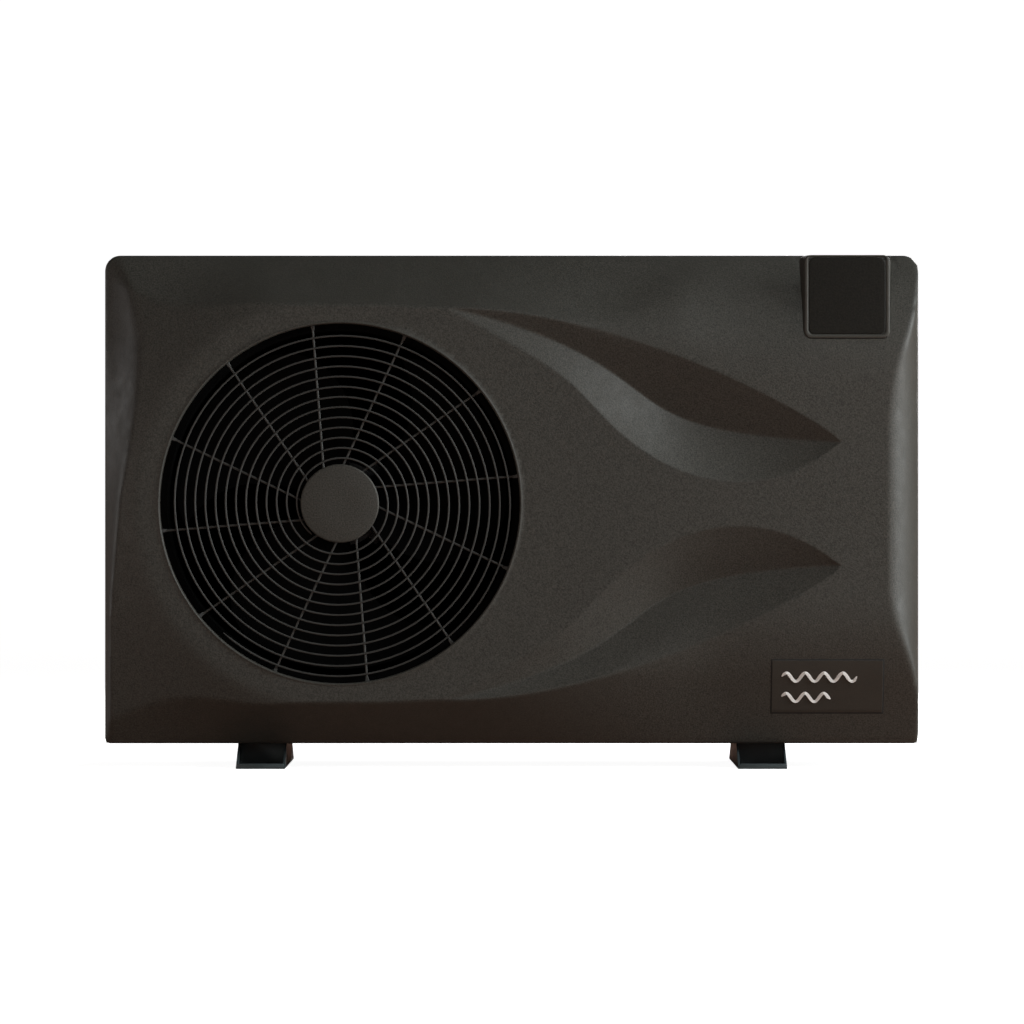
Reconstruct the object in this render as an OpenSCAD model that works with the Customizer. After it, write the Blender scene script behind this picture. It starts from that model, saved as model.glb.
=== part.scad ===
// Air-source heat pump for a swimming pool: a moulded casing on two steel feet, with an axial
// fan and its wire guard on the left and the refrigerant bay, water unions and display on the right.
// Origin on the ground, midway between the four foot bolts. +Z up, the front faces -Y.

/* [Casing] */
// Width of the casing
body_w = 1000; // [996:1:1010]
// Height of the casing above the feet
body_h = 600; // [598:1:610]
// Depth from the foremost face to the rear panels
body_d = 415; // [412:1:420]
// Distance from the foot-bolt centre to the rear panels
back_y = 205; // [203:1:208]
// Wall thickness of the moulded panels
wall = 3; // [2.5:0.1:3.2]
// Corner radius at the top of the casing, seen from the front
top_r = 19; // [12:1:22]
// Corner radius at the bottom of the casing, seen from the front
low_r = 6.5; // [5:0.5:10]
// Radius of the vertical rear corners
rear_r = 14; // [10:1:18]
// Gap between neighbouring panels
seam = 1; // [0.6:0.1:1.4]

/* [Front panel] */
// How far the sloping border falls back from the foremost face
border_d = 60; // [55:1:62]
// Height of the sloping border along the top
top_border = 62; // [56:1:66]
// Height of the sloping border along the bottom
low_border = 51; // [46:1:56]
// Width of the sloping borders at the left and right
side_border = 55; // [48:1:58]
// Height of the long slope under the right-hand block
slope_h = 140; // [120:5:150]
// Where the right-hand block's long slope starts
slope_x = 250; // [220:5:280]
// Depth of the straight skirt behind the borders
skirt_d = 28; // [24:1:32]
// Greatest depth of the two leaf-shaped hollows
leaf_d = 30; // [20:1:34]

/* [Fan] */
// Fan axis, to the left of the middle
fan_x = -210; // [-215:1:-205]
// Height of the fan axis above the ground
fan_z = 325; // [320:1:330]
// Radius of the opening in the front panel
opening_r = 220; // [218:1:222]
// Tip radius of the fan blades
blade_r = 204; // [190:1:206]
// Number of blades
blades = 3; // [3:1:5]
// Pitch of the spiral guard wire
wire_pitch = 12.46; // [12.4:0.02:12.5]
// Turns of the spiral guard wire
wire_turns = 13; // [11:1:13]
// Radius of the spiral guard wire
wire_r = 1.25; // [1:0.05:1.5]
// Radius of the straight guard wires
spoke_r = 1.5; // [1.25:0.05:1.6]
// Number of straight guard wires
spokes = 12; // [8:2:14]
// Radius of the guard's centre cap
cap_r = 48; // [46:1:50]

/* [Display] */
// Left edge of the display housing
disp_x = 358; // [355:1:362]
// Width of the display housing
disp_w = 104; // [100:1:106]
// Height of the display housing
disp_h = 103; // [100:1:104]
// Width of the frame round the flap
disp_rim = 4.5; // [4:0.1:5]
// Radius of the flap's hinge pin
pin_r = 1; // [0.8:0.1:1.2]

/* [Feet] */
// Height of the feet
foot_h = 30; // [28:1:34]
// Width of a foot
foot_w = 60; // [55:1:65]
// Length of a foot
foot_l = 390; // [386:1:396]
// Thickness of the foot's sheet steel
foot_t = 2.5; // [2:0.1:3]
// Distance between the feet, centre to centre
foot_gap = 615; // [600:1:620]
// Distance between the front and rear bolt holes
bolt_gap = 360; // [350:1:364]
// Radius of the bolt holes
bolt_r = 5; // [4:0.5:6]

/* [Water connections] */
// Distance of the water connections from the middle
port_x = 415; // [412:1:418]
// Height of the water inlet
inlet_z = 130; // [128:1:140]
// Height of the water outlet
outlet_z = 430; // [420:1:440]
// Bore radius of the pipe sockets
socket_r = 25.15; // [25.1:0.01:25.2]
// Depth of the pipe sockets
socket_l = 26; // [20:1:28]
// Length of the unions behind the rear panels
union_l = 57; // [55:1:60]

/* [Hidden] */
$fn = 64;

// Casing planes
z_low = foot_h;
z_top = foot_h + body_h;
z_cover = z_top - 30;
face_y = back_y - body_d;
rim_y = face_y + border_d;
skirt_y = rim_y + skirt_d;
half_w = body_w / 2;
pan_t = 2;
pan_z = z_low + pan_t;
pan_top = z_low + 22;
pan_x = half_w - 8;
pan_y = back_y - wall - 2;
sheet = 1.5;
// Distance of the cross webs of a foot from its middle
web_y = 90;

// Panel joints along the back
left_split = -460;
mid_split = 230;
right_split = 460;

// Leaf hollows: outer edge, valley and inner edge as Bezier control points, as distances
// from the middle and from the level half-way between the leaves
leaf_z = fan_z - 0.5;
leaf_outer = [[-80, 240], [143, 244], [411, 85], [401, 75]];
leaf_valley = [[-80, 240], [20, 221], [241, 149], [71, 93], [401, 75]];
leaf_inner = [[-80, 240], [172, 98], [17, 203], [206, -88], [401, 75]];
leaf_steps = 26;

// Fan guard
spiral_start = 50.8;
spiral_turn = 48;
wire_y = face_y + 7;
spoke_y = wire_y + wire_r + spoke_r + 0.05;
spoke_offset = 16.6;
spoke_in = 36.5;
spoke_out = opening_r - 1.5;
spoke_phase = 8.8;
collar_d = 24;

// Fan drive
hub_r = 45;
hub_y0 = face_y + 75;
hub_y1 = hub_y0 + 50;
shaft_r = 6;
run_gap = 0.05;
motor_y0 = hub_y1 + 45;
motor_y1 = motor_y0 + 90;
motor_r = 52;
shroud_y = face_y + collar_d;
shroud_r = blade_r + 8;

// Display
disp_z = z_top - disp_h;
disp_y = face_y - 3;
flap_y = disp_y + 1;
flap_t = 3.2;
hinge_y = flap_y + 2;
hinge_z = z_top - disp_rim - 1.7;
barrel_r = 2.2;
plate_y = disp_y + 13;
key_r = 5;
key_z = disp_z + 20;
key_pitch = 20;

// Refrigerant bay
part_x = 150;
comp_x = 255;
comp_y = 75;
comp_r = 60;
comp_top = 330;
acc_x = 225;
acc_y = -15;
acc_r = 27;
valve_x = 285;
valve_y = 20;
valve_z = 430;
hx_y = 70;
hx_r = 62;
hx_top = 500;
gas_r = 6;
liq_r = 4.8;
gas_z = 378;
liq_z = 126;
liq_y = -70;
bend_r = 12;

// Evaporator
evap_t = 25;
evap_bend = 50;
evap_x = -480;
evap_y = 185;
evap_end_x = 120;
evap_end_y = -90;
evap_z0 = pan_z + 0.5;
evap_z1 = 590;
tube_r = 3.5;
tube_pitch = 21;

// Water parts
pipe_r = 25;
pipe_bore = 21;
tail_r = 30;
nut_r = 38;
nut_y0 = back_y + 7;
nut_y1 = nut_y0 + 28;
paddle_y = 165;
paddle_z = inlet_z + 13;

// Gauge and glands
gauge_x = 300;
gauge_z = 470;
gauge_r = 26;
gland_x = 300;
gland_zs = [190, 240];

// Lifting grips
grip_y0 = -20;
grip_y1 = 90;
grip_z0 = 526;
grip_z1 = 552;
grip_d = 14;

// Access window in the right panel
access = [[-100, 340], [20, 480]];

// ---- Helpers ----

function bez(p, t) = len(p) == 1 ? p[0]
    : bez([for (i = [0 : len(p) - 2]) (1 - t) * p[i] + t * p[i + 1]], t);

function arc(c, r, a0, a1, n = 8) =
    [for (i = [0 : n]) c + r * [cos(a0 + (a1 - a0) * i / n), sin(a0 + (a1 - a0) * i / n)]];

// Casing outline seen from the front
function front_outline(inset) = let (
        x = half_w - inset, lo = z_low + inset, hi = z_top - inset,
        rt = top_r - inset, rb = low_r - inset)
    concat(arc([x - rb, lo + rb], rb, -90, 0), arc([x - rt, hi - rt], rt, 0, 90),
           arc([-x + rt, hi - rt], rt, 90, 180), arc([-x + rb, lo + rb], rb, 180, 270));

// Casing outline behind the front panel, seen from above
function plan_outline(inset, front) = let (
        x = half_w - inset, y = back_y - inset, r = rear_r - inset)
    concat([[-x, front], [x, front]], arc([x - r, y - r], r, 0, 90),
           arc([-x + r, y - r], r, 90, 180));

function rounded(x0, z0, x1, z1, r) =
    concat(arc([x1 - r, z0 + r], r, -90, 0, 6), arc([x1 - r, z1 - r], r, 0, 90, 6),
           arc([x0 + r, z1 - r], r, 90, 180, 6), arc([x0 + r, z0 + r], r, 180, 270, 6));

// A box from its lowest to its highest corner
module block(lo, hi) {
    translate(lo) cube(hi - lo);
}

// Extrude a front view (x, z) from y0 to y1
module along_y(y0, y1) {
    translate([0, y1, 0]) rotate([90, 0, 0]) linear_extrude(y1 - y0) children();
}

// Extrude a side view (y, z) from x0 to x1
module along_x(x0, x1) {
    translate([x0, 0, 0]) rotate([90, 0, 90]) linear_extrude(x1 - x0) children();
}

// A disc about an axis along Y
module disc(x, z, y0, y1, r) {
    translate([x, y1, z]) rotate([90, 0, 0]) cylinder(h = y1 - y0, r = r);
}

// A tube about an axis along Y
module tube(x, z, y0, y1, r, bore) {
    difference() {
        disc(x, z, y0, y1, r);
        disc(x, z, y0 - 1, y1 + 1, bore);
    }
}

// A round bar between two points
module rod(p, q, r) {
    v = q - p;
    translate(p) rotate([0, acos(v.z / norm(v)), atan2(v.y, v.x)]) cylinder(h = norm(v), r = r);
}

// A quarter bend round the corner c, from direction a into direction b
module bend(c, a, b, r) {
    n = cross(a, b);
    o = c - bend_r * a + bend_r * b;
    multmatrix([[-b.x, a.x, -n.x, o.x], [-b.y, a.y, -n.y, o.y], [-b.z, a.z, -n.z, o.z]])
        rotate_extrude(angle = 90) translate([bend_r, 0]) circle(r = r);
}

// A pipe through points that turn at right angles, with round bends
module pipe(pts, r) {
    last = len(pts) - 1;
    dirs = [for (i = [0 : last - 1]) (pts[i + 1] - pts[i]) / norm(pts[i + 1] - pts[i])];
    for (i = [0 : last - 1])
        rod(pts[i] + (i > 0 ? bend_r : 0) * dirs[i],
            pts[i + 1] - (i < last - 1 ? bend_r : 0) * dirs[i], r);
    for (i = [1 : last - 1]) bend(pts[i], dirs[i - 1], dirs[i], r);
}

// ---- Casing ----

// Solid front of the casing, moved back and drawn in to make the inside of the shell
module front_block(shift, inset) {
    low_k = border_d / low_border;
    top_k = border_d / top_border;
    side_k = border_d / side_border;
    intersection() {
        along_y(face_y + shift, skirt_y + inset) polygon(front_outline(inset));
        translate([0, shift, 0]) along_x(-body_w, body_w) polygon([
            [skirt_y + 20, z_low - 1], [rim_y + low_k, z_low - 1],
            [face_y, z_low + low_border], [face_y, z_top - top_border],
            [rim_y + top_k, z_top + 1], [skirt_y + 20, z_top + 1]]);
        translate([0, shift, 0]) linear_extrude(z_top + 20) polygon([
            [-half_w - 1, skirt_y + 20], [-half_w - 1, rim_y + side_k],
            [-half_w + side_border, face_y], [half_w - side_border, face_y],
            [half_w + 1, rim_y + side_k], [half_w + 1, skirt_y + 20]]);
    }
}

// The long slope under the right-hand block, as the space in front of it
module slope_space(shift) {
    hi = [face_y, z_low + slope_h];
    lo = [rim_y, z_low];
    over = (lo - hi) * 0.1;
    translate([0, shift, 0]) along_x(slope_x, half_w + 10)
        polygon([hi - over, lo + over, lo + over - [border_d * 2, 0], hi - over - [border_d * 2, 0]]);
}

// One leaf hollow: a valley between two curved edges, open to the front
module leaf_space(shift) {
    out = face_y - 20;
    back = face_y + shift;
    ts = [for (i = [0 : leaf_steps]) 0.02 + 0.96 * i / leaf_steps];
    rows = [for (t = ts) let (
            o = bez(leaf_outer, t), v = bez(leaf_valley, t), n = bez(leaf_inner, t),
            d = leaf_d * sin(180 * t) + 1)
        each [[o.x, back, leaf_z + o.y], [v.x, back + d, leaf_z + v.y],
              [n.x, back, leaf_z + n.y], [n.x, out, leaf_z + n.y], [o.x, out, leaf_z + o.y]]];
    sides = [for (i = [0 : leaf_steps - 1], j = [0 : 4]) let (
            a = i * 5 + j, b = i * 5 + (j + 1) % 5)
        each [[a, b, b + 5], [a, b + 5, a + 5]]];
    e = leaf_steps * 5;
    caps = [[0, 2, 1], [0, 3, 2], [0, 4, 3],
            [e, e + 1, e + 2], [e, e + 2, e + 3], [e, e + 3, e + 4]];
    polyhedron(rows, concat(sides, caps));
}

module leaf_pair(shift) {
    leaf_space(shift);
    translate([0, 0, 2 * leaf_z]) mirror([0, 0, 1]) leaf_space(shift);
}

module front_panel() {
    color([0.2, 0.2, 0.19]) difference() {
        union() {
            difference() {
                front_block(0, 0);
                slope_space(0);
                leaf_pair(0);
                difference() {
                    front_block(wall * 1.4, wall);
                    slope_space(wall * 1.2);
                    leaf_pair(wall * 1.4);
                }
            }
            tube(fan_x, fan_z, face_y, face_y + collar_d, opening_r + wall, opening_r);
        }
        disc(fan_x, fan_z, face_y - 1, face_y + collar_d + 1, opening_r);
        block([disp_x - 0.5, face_y - 10, disp_z - 0.5], [disp_x + disp_w + 0.5, rim_y - 1, z_top + 5]);
    }
}

// Closed top of the casing behind the front panel
module top_cover() {
    y0 = skirt_y + seam;
    color([0.17, 0.17, 0.16]) difference() {
        intersection() {
            along_y(y0, back_y) polygon(front_outline(0));
            translate([0, 0, z_cover]) linear_extrude(40) polygon(plan_outline(0, y0));
        }
        intersection() {
            along_y(y0 - 1, back_y - wall) polygon(front_outline(wall));
            translate([0, 0, z_cover - 1]) linear_extrude(40) polygon(plan_outline(wall, y0 - 1));
        }
    }
}

// Part of the casing's wall between two planes across X
module wall_run(x0, x1) {
    y0 = skirt_y + seam;
    translate([0, 0, z_low]) linear_extrude(z_cover - seam - z_low) intersection() {
        difference() {
            polygon(plan_outline(0, y0));
            polygon(plan_outline(wall, y0 - 1));
        }
        translate([x0, y0 - 2]) square([x1 - x0, back_y - y0 + 4]);
    }
}

// A recessed grip: its pocket, or the cup round the pocket
module grip(side, grow) {
    x0 = side * (half_w + 1 - (grow > 0 ? 2 : 0));
    x1 = side * (half_w - wall - grip_d - grow);
    block([min(x0, x1), grip_y0 - grow, grip_z0 - grow], [max(x0, x1), grip_y1 + grow, grip_z1 + grow]);
}

// Profile of a louvre slat, as distance in from the outer face and height
function slat(z) = [[0.5, z], [14, z + 11], [14, z + 13.5], [0.5, z + 2.5]];

module left_panel() {
    win = [[-90, 72], [165, 500]];
    pitch = 21.4;
    color([0.17, 0.17, 0.16]) difference() {
        union() {
            difference() {
                wall_run(-half_w - 1, left_split);
                block([-half_w - 5, win[0].x, win[0].y], [-half_w + 10, win[1].x, win[1].y]);
            }
            for (z = [win[0].y + 3 : pitch : win[1].y - 18])
                along_y(win[0].x - 2, win[1].x + 2)
                    polygon([for (p = slat(z)) [-half_w + p.x, p.y]]);
            block([-half_w + 1.2, 36, win[0].y - 2], [-half_w + 12.4, 39.2, win[1].y + 2]);
            grip(-1, 1.5);
        }
        grip(-1, 0);
        panel_holes(-1);
    }
}

module right_panel() {
    lip = 6;
    color([0.17, 0.17, 0.16]) difference() {
        union() {
            wall_run(right_split, half_w + 1);
            grip(1, 1.5);
            block([half_w - wall - 3, access[0].x - 4, access[0].y - 4],
                  [half_w - wall + 0.5, access[1].x + 4, access[1].y + 4]);
        }
        grip(1, 0);
        block([half_w - wall, access[0].x, access[0].y], [half_w + 5, access[1].x, access[1].y]);
        block([half_w - wall - 10, access[0].x + lip, access[0].y + lip],
              [half_w + 5, access[1].x - lip, access[1].y - lip]);
        panel_holes(1);
    }
}

module rear_grille() {
    win = [[-440, 62], [212, 572]];
    pitch = 20;
    ribs = 6;
    color([0.17, 0.17, 0.16]) difference() {
        union() {
            difference() {
                wall_run(left_split + seam, mid_split - seam);
                block([win[0].x, back_y - 20, win[0].y], [win[1].x, back_y + 5, win[1].y]);
            }
            for (z = [win[0].y + 3 : pitch : win[1].y - 18])
                along_x(win[0].x - 2, win[1].x + 2)
                    polygon([for (p = slat(z)) [back_y - p.x, p.y]]);
            for (i = [1 : ribs - 1]) let (x = win[0].x + (win[1].x - win[0].x) * i / ribs)
                block([x - 1.5, back_y - 12.4, win[0].y - 2], [x + 1.5, back_y - 1.2, win[1].y + 2]);
        }
        for (p = rear_screws) disc(p.x, p.y, back_y - 10, back_y + 10, 2.25);
    }
}

module service_panel() {
    color([0.17, 0.17, 0.16]) difference() {
        wall_run(mid_split, right_split - seam);
        for (z = [inlet_z, outlet_z]) disc(port_x, z, back_y - 10, back_y + 10, tail_r + 1);
        disc(gauge_x, gauge_z, back_y - 10, back_y + 10, 8);
        for (z = gland_zs) disc(gland_x, z, back_y - 10, back_y + 10, 8.5);
        for (p = rear_screws) disc(p.x, p.y, back_y - 10, back_y + 10, 2.25);
    }
}

module access_cover() {
    color([0.15, 0.15, 0.14]) difference() {
        block([half_w - wall + 0.1, access[0].x + 0.5, access[0].y + 0.5],
              [half_w - 0.3, access[1].x - 0.5, access[1].y - 0.5]);
        block([half_w - 1.2, -50, access[0].y + 10], [half_w + 1, -30, access[0].y + 22]);
    }
}

module base_pan() {
    color([0.3, 0.31, 0.32]) difference() {
        block([-pan_x, skirt_y + 2, z_low], [pan_x, pan_y, pan_top]);
        block([-pan_x + sheet, skirt_y + 2 + sheet, pan_z], [pan_x - sheet, pan_y - sheet, pan_top + 1]);
        translate([-100, 100, z_low - 1]) cylinder(h = 10, r = 10);
        for (p = rear_screws) disc(p.x, p.y, back_y - 12, back_y, 2.25);
        for (side = [-1, 1], p = side_screws)
            rod([side * (half_w - 12), p.x, p.y], [side * half_w, p.x, p.y], 2.25);
    }
}

// A channel open at the top, its side walls cut away in a slope towards both ends
module foot(x) {
    l = foot_l / 2;
    color([0.1, 0.11, 0.13]) difference() {
        translate([x, 0, 0]) difference() {
            along_x(-foot_w / 2, foot_w / 2) polygon([
                [-l, 0], [l, 0], [l, foot_t], [l - 6, foot_t + 1], [l - 85, foot_h],
                [-l + 85, foot_h], [-l + 6, foot_t + 1], [-l, foot_t]]);
            block([-foot_w / 2 + foot_t, -l - 1, foot_t], [foot_w / 2 - foot_t, -web_y, foot_h + 1]);
            block(
                [-foot_w / 2 + foot_t, -web_y + foot_t, foot_t],
                [foot_w / 2 - foot_t, web_y - foot_t, foot_h + 1]
            );
            block([-foot_w / 2 + foot_t, web_y, foot_t], [foot_w / 2 - foot_t, l + 1, foot_h + 1]);
        }
        for (s = [-1, 1]) translate([x, s * bolt_gap / 2, -1]) cylinder(h = 10, r = bolt_r);
    }
}

module foot_left() {
    foot(-foot_gap / 2);
}

module foot_right() {
    foot(foot_gap / 2);
}

// Screw places: (x, z) on the rear panels and (y, z) on the side panels
rear_screws = [[-420, 46], [-100, 46], [200, 46], [-420, 586], [-100, 586], [200, 586],
               [245, 46], [445, 46], [245, 586], [445, 586]];
side_screws = [[-100, 44], [180, 44], [-100, 586], [180, 586]];

// Counterbored holes through a side panel
module panel_holes(side) {
    for (p = side_screws) {
        rod([side * (half_w - 10), p.x, p.y], [side * (half_w + 5), p.x, p.y], 2.25);
        rod([side * (half_w - 1.6), p.x, p.y], [side * (half_w + 5), p.x, p.y], 5);
    }
}

module panel_screws() {
    color([0.2, 0.2, 0.2]) {
        for (p = rear_screws) {
            disc(p.x, p.y, back_y - 9, back_y + 0.5, 2);
            disc(p.x, p.y, back_y + 0.2, back_y + 2.4, 4.5);
        }
        for (side = [-1, 1], p = side_screws) {
            rod([side * (half_w - 10), p.x, p.y], [side * (half_w - 1), p.x, p.y], 2);
            rod([side * (half_w - 1.4), p.x, p.y], [side * (half_w - 0.2), p.x, p.y], 4.5);
        }
    }
}

// Plain plate lying on the long slope at the lower right
module name_plate() {
    tilt = atan(border_d / slope_h);
    plate = [139, 74, 1];
    mid_z = 101;
    mid_y = face_y + border_d * (z_low + slope_h - mid_z) / slope_h;
    color([0.15, 0.14, 0.13]) translate([387, mid_y, mid_z]) rotate([tilt, 0, 0])
        block([-plate.x / 2, -plate.z - 0.1, -plate.y / 2], [plate.x / 2, -0.1, plate.y / 2]);
}

// ---- Display ----

module display_housing() {
    x0 = disp_x;
    x1 = disp_x + disp_w;
    color([0.22, 0.22, 0.21]) difference() {
        along_y(disp_y, rim_y - 1.5) polygon(rounded(x0, disp_z, x1, z_top, 8));
        along_y(disp_y - 1, plate_y)
            polygon(rounded(x0 + disp_rim, disp_z + disp_rim, x1 - disp_rim, z_top - disp_rim + 1, 5));
        block(
            [x0 + disp_rim, disp_y - 1, z_top - disp_rim - 5],
            [x1 - disp_rim, plate_y, z_top - disp_rim + 1]
        );
        along_y(plate_y + 3, rim_y + 1)
            polygon(rounded(x0 + 3, disp_z + 3, x1 - 3, z_top - 3, 5));
        along_y(plate_y - 1, plate_y + 1.5)
            polygon(rounded(x0 + 17, disp_z + 36, x1 - 17, z_top - 17, 3));
        for (i = [0 : 3]) disc(key_x(i), key_z, plate_y - 1, plate_y + 4, key_r + 0.3);
        rod([x0 + 1.5, hinge_y, hinge_z], [x1 - 1.5, hinge_y, hinge_z], pin_r);
    }
}

function key_x(i) = disp_x + disp_w / 2 + (i - 1.5) * key_pitch;

module display_screen() {
    color([0.05, 0.06, 0.07]) along_y(plate_y + 0.2, plate_y + 1.4)
        polygon(rounded(disp_x + 17.3, disp_z + 36.3, disp_x + disp_w - 17.3, z_top - 17.3, 3));
}

module display_flap() {
    x0 = disp_x + disp_rim + 0.5;
    x1 = disp_x + disp_w - disp_rim - 0.5;
    color([0.13, 0.12, 0.11]) difference() {
        union() {
            along_y(flap_y, flap_y + flap_t) polygon(rounded(x0, disp_z + disp_rim + 0.5, x1, hinge_z, 4.5));
            rod([x0 + 4, hinge_y, hinge_z], [x1 - 4, hinge_y, hinge_z], barrel_r);
        }
        rod([x0 - 1, hinge_y, hinge_z], [x1 + 1, hinge_y, hinge_z], pin_r + run_gap);
    }
}

module hinge_pin() {
    color("silver") rod([disp_x + 1.6, hinge_y, hinge_z], [disp_x + disp_w - 1.6, hinge_y, hinge_z], pin_r);
}

module key(i) {
    color([0.3, 0.3, 0.3]) disc(key_x(i), key_z, plate_y - 1.5, plate_y + 3.5, key_r);
}

module power_key() {
    key(0);
}

module mode_key() {
    key(1);
}

module up_key() {
    key(2);
}

module down_key() {
    key(3);
}

// ---- Fan guard ----

// A flat spiral of half rings whose centres alternate, so that each meets the next
module grille_spiral() {
    color([0.1, 0.1, 0.1]) translate([fan_x, wire_y, fan_z]) rotate([90, 0, 0])
        rotate([0, 0, spiral_turn]) translate([wire_pitch / 4, 0, 0])
        for (i = [0 : 2 * wire_turns - 1])
            translate([i % 2 == 0 ? 0 : -wire_pitch / 2, 0, 0]) rotate([0, 0, i % 2 == 0 ? 0 : 180])
                rotate_extrude(angle = 180) translate([spiral_start + (2 * i + 1) * wire_pitch / 4, 0])
                    circle(r = wire_r);
}

// Straight wires that pass the centre at a small distance, each with a foot at the rim
module grille_spokes() {
    swing = asin(spoke_offset / spoke_in) - asin(spoke_offset / spoke_out);
    color([0.12, 0.12, 0.12]) for (i = [0 : spokes - 1]) let (a = spoke_phase + 360 * i / spokes) {
        rod([fan_x + spoke_in * cos(a + swing), spoke_y, fan_z + spoke_in * sin(a + swing)],
            [fan_x + spoke_out * cos(a), spoke_y, fan_z + spoke_out * sin(a)], spoke_r);
        translate([fan_x, spoke_y, fan_z]) rotate([0, -a, 0])
            block([spoke_out - 4, -2, -7], [spoke_out + 0.6, 4, 2.5]);
    }
}

module grille_cap() {
    color([0.2, 0.2, 0.19]) {
        disc(fan_x, fan_z, face_y + 1, face_y + 4, cap_r);
        disc(fan_x, fan_z, face_y + 3, face_y + 12, spoke_in - 0.5);
    }
}

// ---- Fan ----

// Inner front plate with the air ring round the fan
module fan_shroud() {
    plate_back = skirt_y + 4;
    color([0.12, 0.12, 0.12]) difference() {
        union() {
            block([-half_w + 14, plate_back - sheet, pan_top + 0.5], [part_x - 6, plate_back, z_cover - 4]);
            disc(fan_x, fan_z, shroud_y + 0.5, plate_back, shroud_r + 3);
            disc(fan_x, fan_z, shroud_y + 0.5, shroud_y + 2.5, opening_r + 12);
        }
        disc(fan_x, fan_z, shroud_y - 5, plate_back + 5, shroud_r);
    }
}

module motor_bracket() {
    y0 = motor_y1;
    color([0.25, 0.25, 0.26]) {
        for (s = [-1, 1])
            block([fan_x + s * 50 - 10, y0 + 2, pan_z], [fan_x + s * 50 + 10, y0 + 17, z_cover]);
        block([fan_x - 62, y0, fan_z - 45], [fan_x + 62, y0 + 2, fan_z + 45]);
    }
}

module fan_motor() {
    color([0.2, 0.2, 0.21]) difference() {
        union() {
            disc(fan_x, fan_z, motor_y0 + 8, motor_y1, motor_r);
            disc(fan_x, fan_z, motor_y0, motor_y0 + 8, 24);
            for (a = [45 : 90 : 315]) translate([fan_x, 0, fan_z]) rotate([0, a, 0])
                block([motor_r - 5, motor_y1 - 6, -8], [motor_r + 12, motor_y1, 8]);
        }
        disc(fan_x, fan_z, motor_y0 - 1, motor_y0 + 22, shaft_r + run_gap);
    }
}

module fan_shaft() {
    color("silver") disc(fan_x, fan_z, hub_y0 - 14, motor_y0 + 20, shaft_r);
}

// One blade: a thin sheet that sweeps round the hub while it falls back
module blade() {
    nr = 7;
    na = 8;
    sweep = 84;
    t = 1.5;
    function at(i, j, side) = let (
            u = i / nr, v = j / na, r = hub_r - 4 + (blade_r - hub_r + 4) * u,
            a = sweep * (v - 0.5) + 26 * u * u,
            y = hub_y0 + 4 + (hub_y1 - hub_y0 - 8) * v * (1 - 0.25 * u) + side * t)
        [r * cos(a), y, r * sin(a)];
    rows = nr + 1;
    cols = na + 1;
    pts = [for (side = [-1, 1], i = [0 : nr], j = [0 : na]) at(i, j, side)];
    function id(side, i, j) = side * rows * cols + i * cols + j;
    faces = concat(
        [for (i = [0 : nr - 1], j = [0 : na - 1]) each [
            [id(0, i, j), id(0, i + 1, j), id(0, i + 1, j + 1)],
            [id(0, i, j), id(0, i + 1, j + 1), id(0, i, j + 1)],
            [id(1, i, j), id(1, i + 1, j + 1), id(1, i + 1, j)],
            [id(1, i, j), id(1, i, j + 1), id(1, i + 1, j + 1)]]],
        [for (i = [0 : nr - 1], s = [0, 1]) let (j = s * na, p = id(0, i, j), q = id(0, i + 1, j),
                p2 = id(1, i, j), q2 = id(1, i + 1, j))
            each (s == 0 ? [[p, p2, q2], [p, q2, q]] : [[p, q2, p2], [p, q, q2]])],
        [for (j = [0 : na - 1], s = [0, 1]) let (i = s * nr, p = id(0, i, j), q = id(0, i, j + 1),
                p2 = id(1, i, j), q2 = id(1, i, j + 1))
            each (s == 0 ? [[p, q2, p2], [p, q, q2]] : [[p, p2, q2], [p, q2, q]])]);
    polyhedron(pts, [for (f = faces) [f.z, f.y, f.x]]);
}

module fan_blades() {
    color([0.12, 0.12, 0.12]) difference() {
        union() {
            disc(fan_x, fan_z, hub_y0, hub_y1, hub_r);
            for (i = [0 : blades - 1]) translate([fan_x, 0, fan_z]) rotate([0, 360 * i / blades, 0]) blade();
        }
        disc(fan_x, fan_z, hub_y0 - 5, hub_y1 + 5, shaft_r + run_gap);
    }
}

module fan_nut() {
    color("silver") difference() {
        translate([fan_x, hub_y0 - 1, fan_z]) rotate([90, 0, 0]) cylinder(h = 8, r = 10, $fn = 6);
        disc(fan_x, fan_z, hub_y0 - 20, hub_y0 + 5, shaft_r + run_gap);
    }
}

// ---- Evaporator ----

// Fin stack: a long run at the back that bends round the left rear corner
module evaporator_fins() {
    c = [evap_x + evap_bend, evap_y - evap_bend];
    inner = evap_bend - evap_t;
    color([0.6, 0.62, 0.64]) translate([0, 0, evap_z0]) linear_extrude(evap_z1 - evap_z0) polygon(concat(
        [[evap_x, evap_end_y]], [[evap_x + evap_t, evap_end_y]], arc(c, inner, 180, 90, 12),
        [[evap_end_x, evap_y - evap_t]], [[evap_end_x, evap_y]], arc(c, evap_bend, 90, 180, 16)));
}

module end_plates() {
    color([0.55, 0.56, 0.58]) {
        block([evap_end_x, evap_y - evap_t - 4, evap_z0], [evap_end_x + sheet, evap_y + 4, evap_z1]);
        block([evap_x - 3, evap_end_y - sheet, evap_z0], [evap_x + evap_t + 4, evap_end_y, evap_z1]);
    }
}

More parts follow.
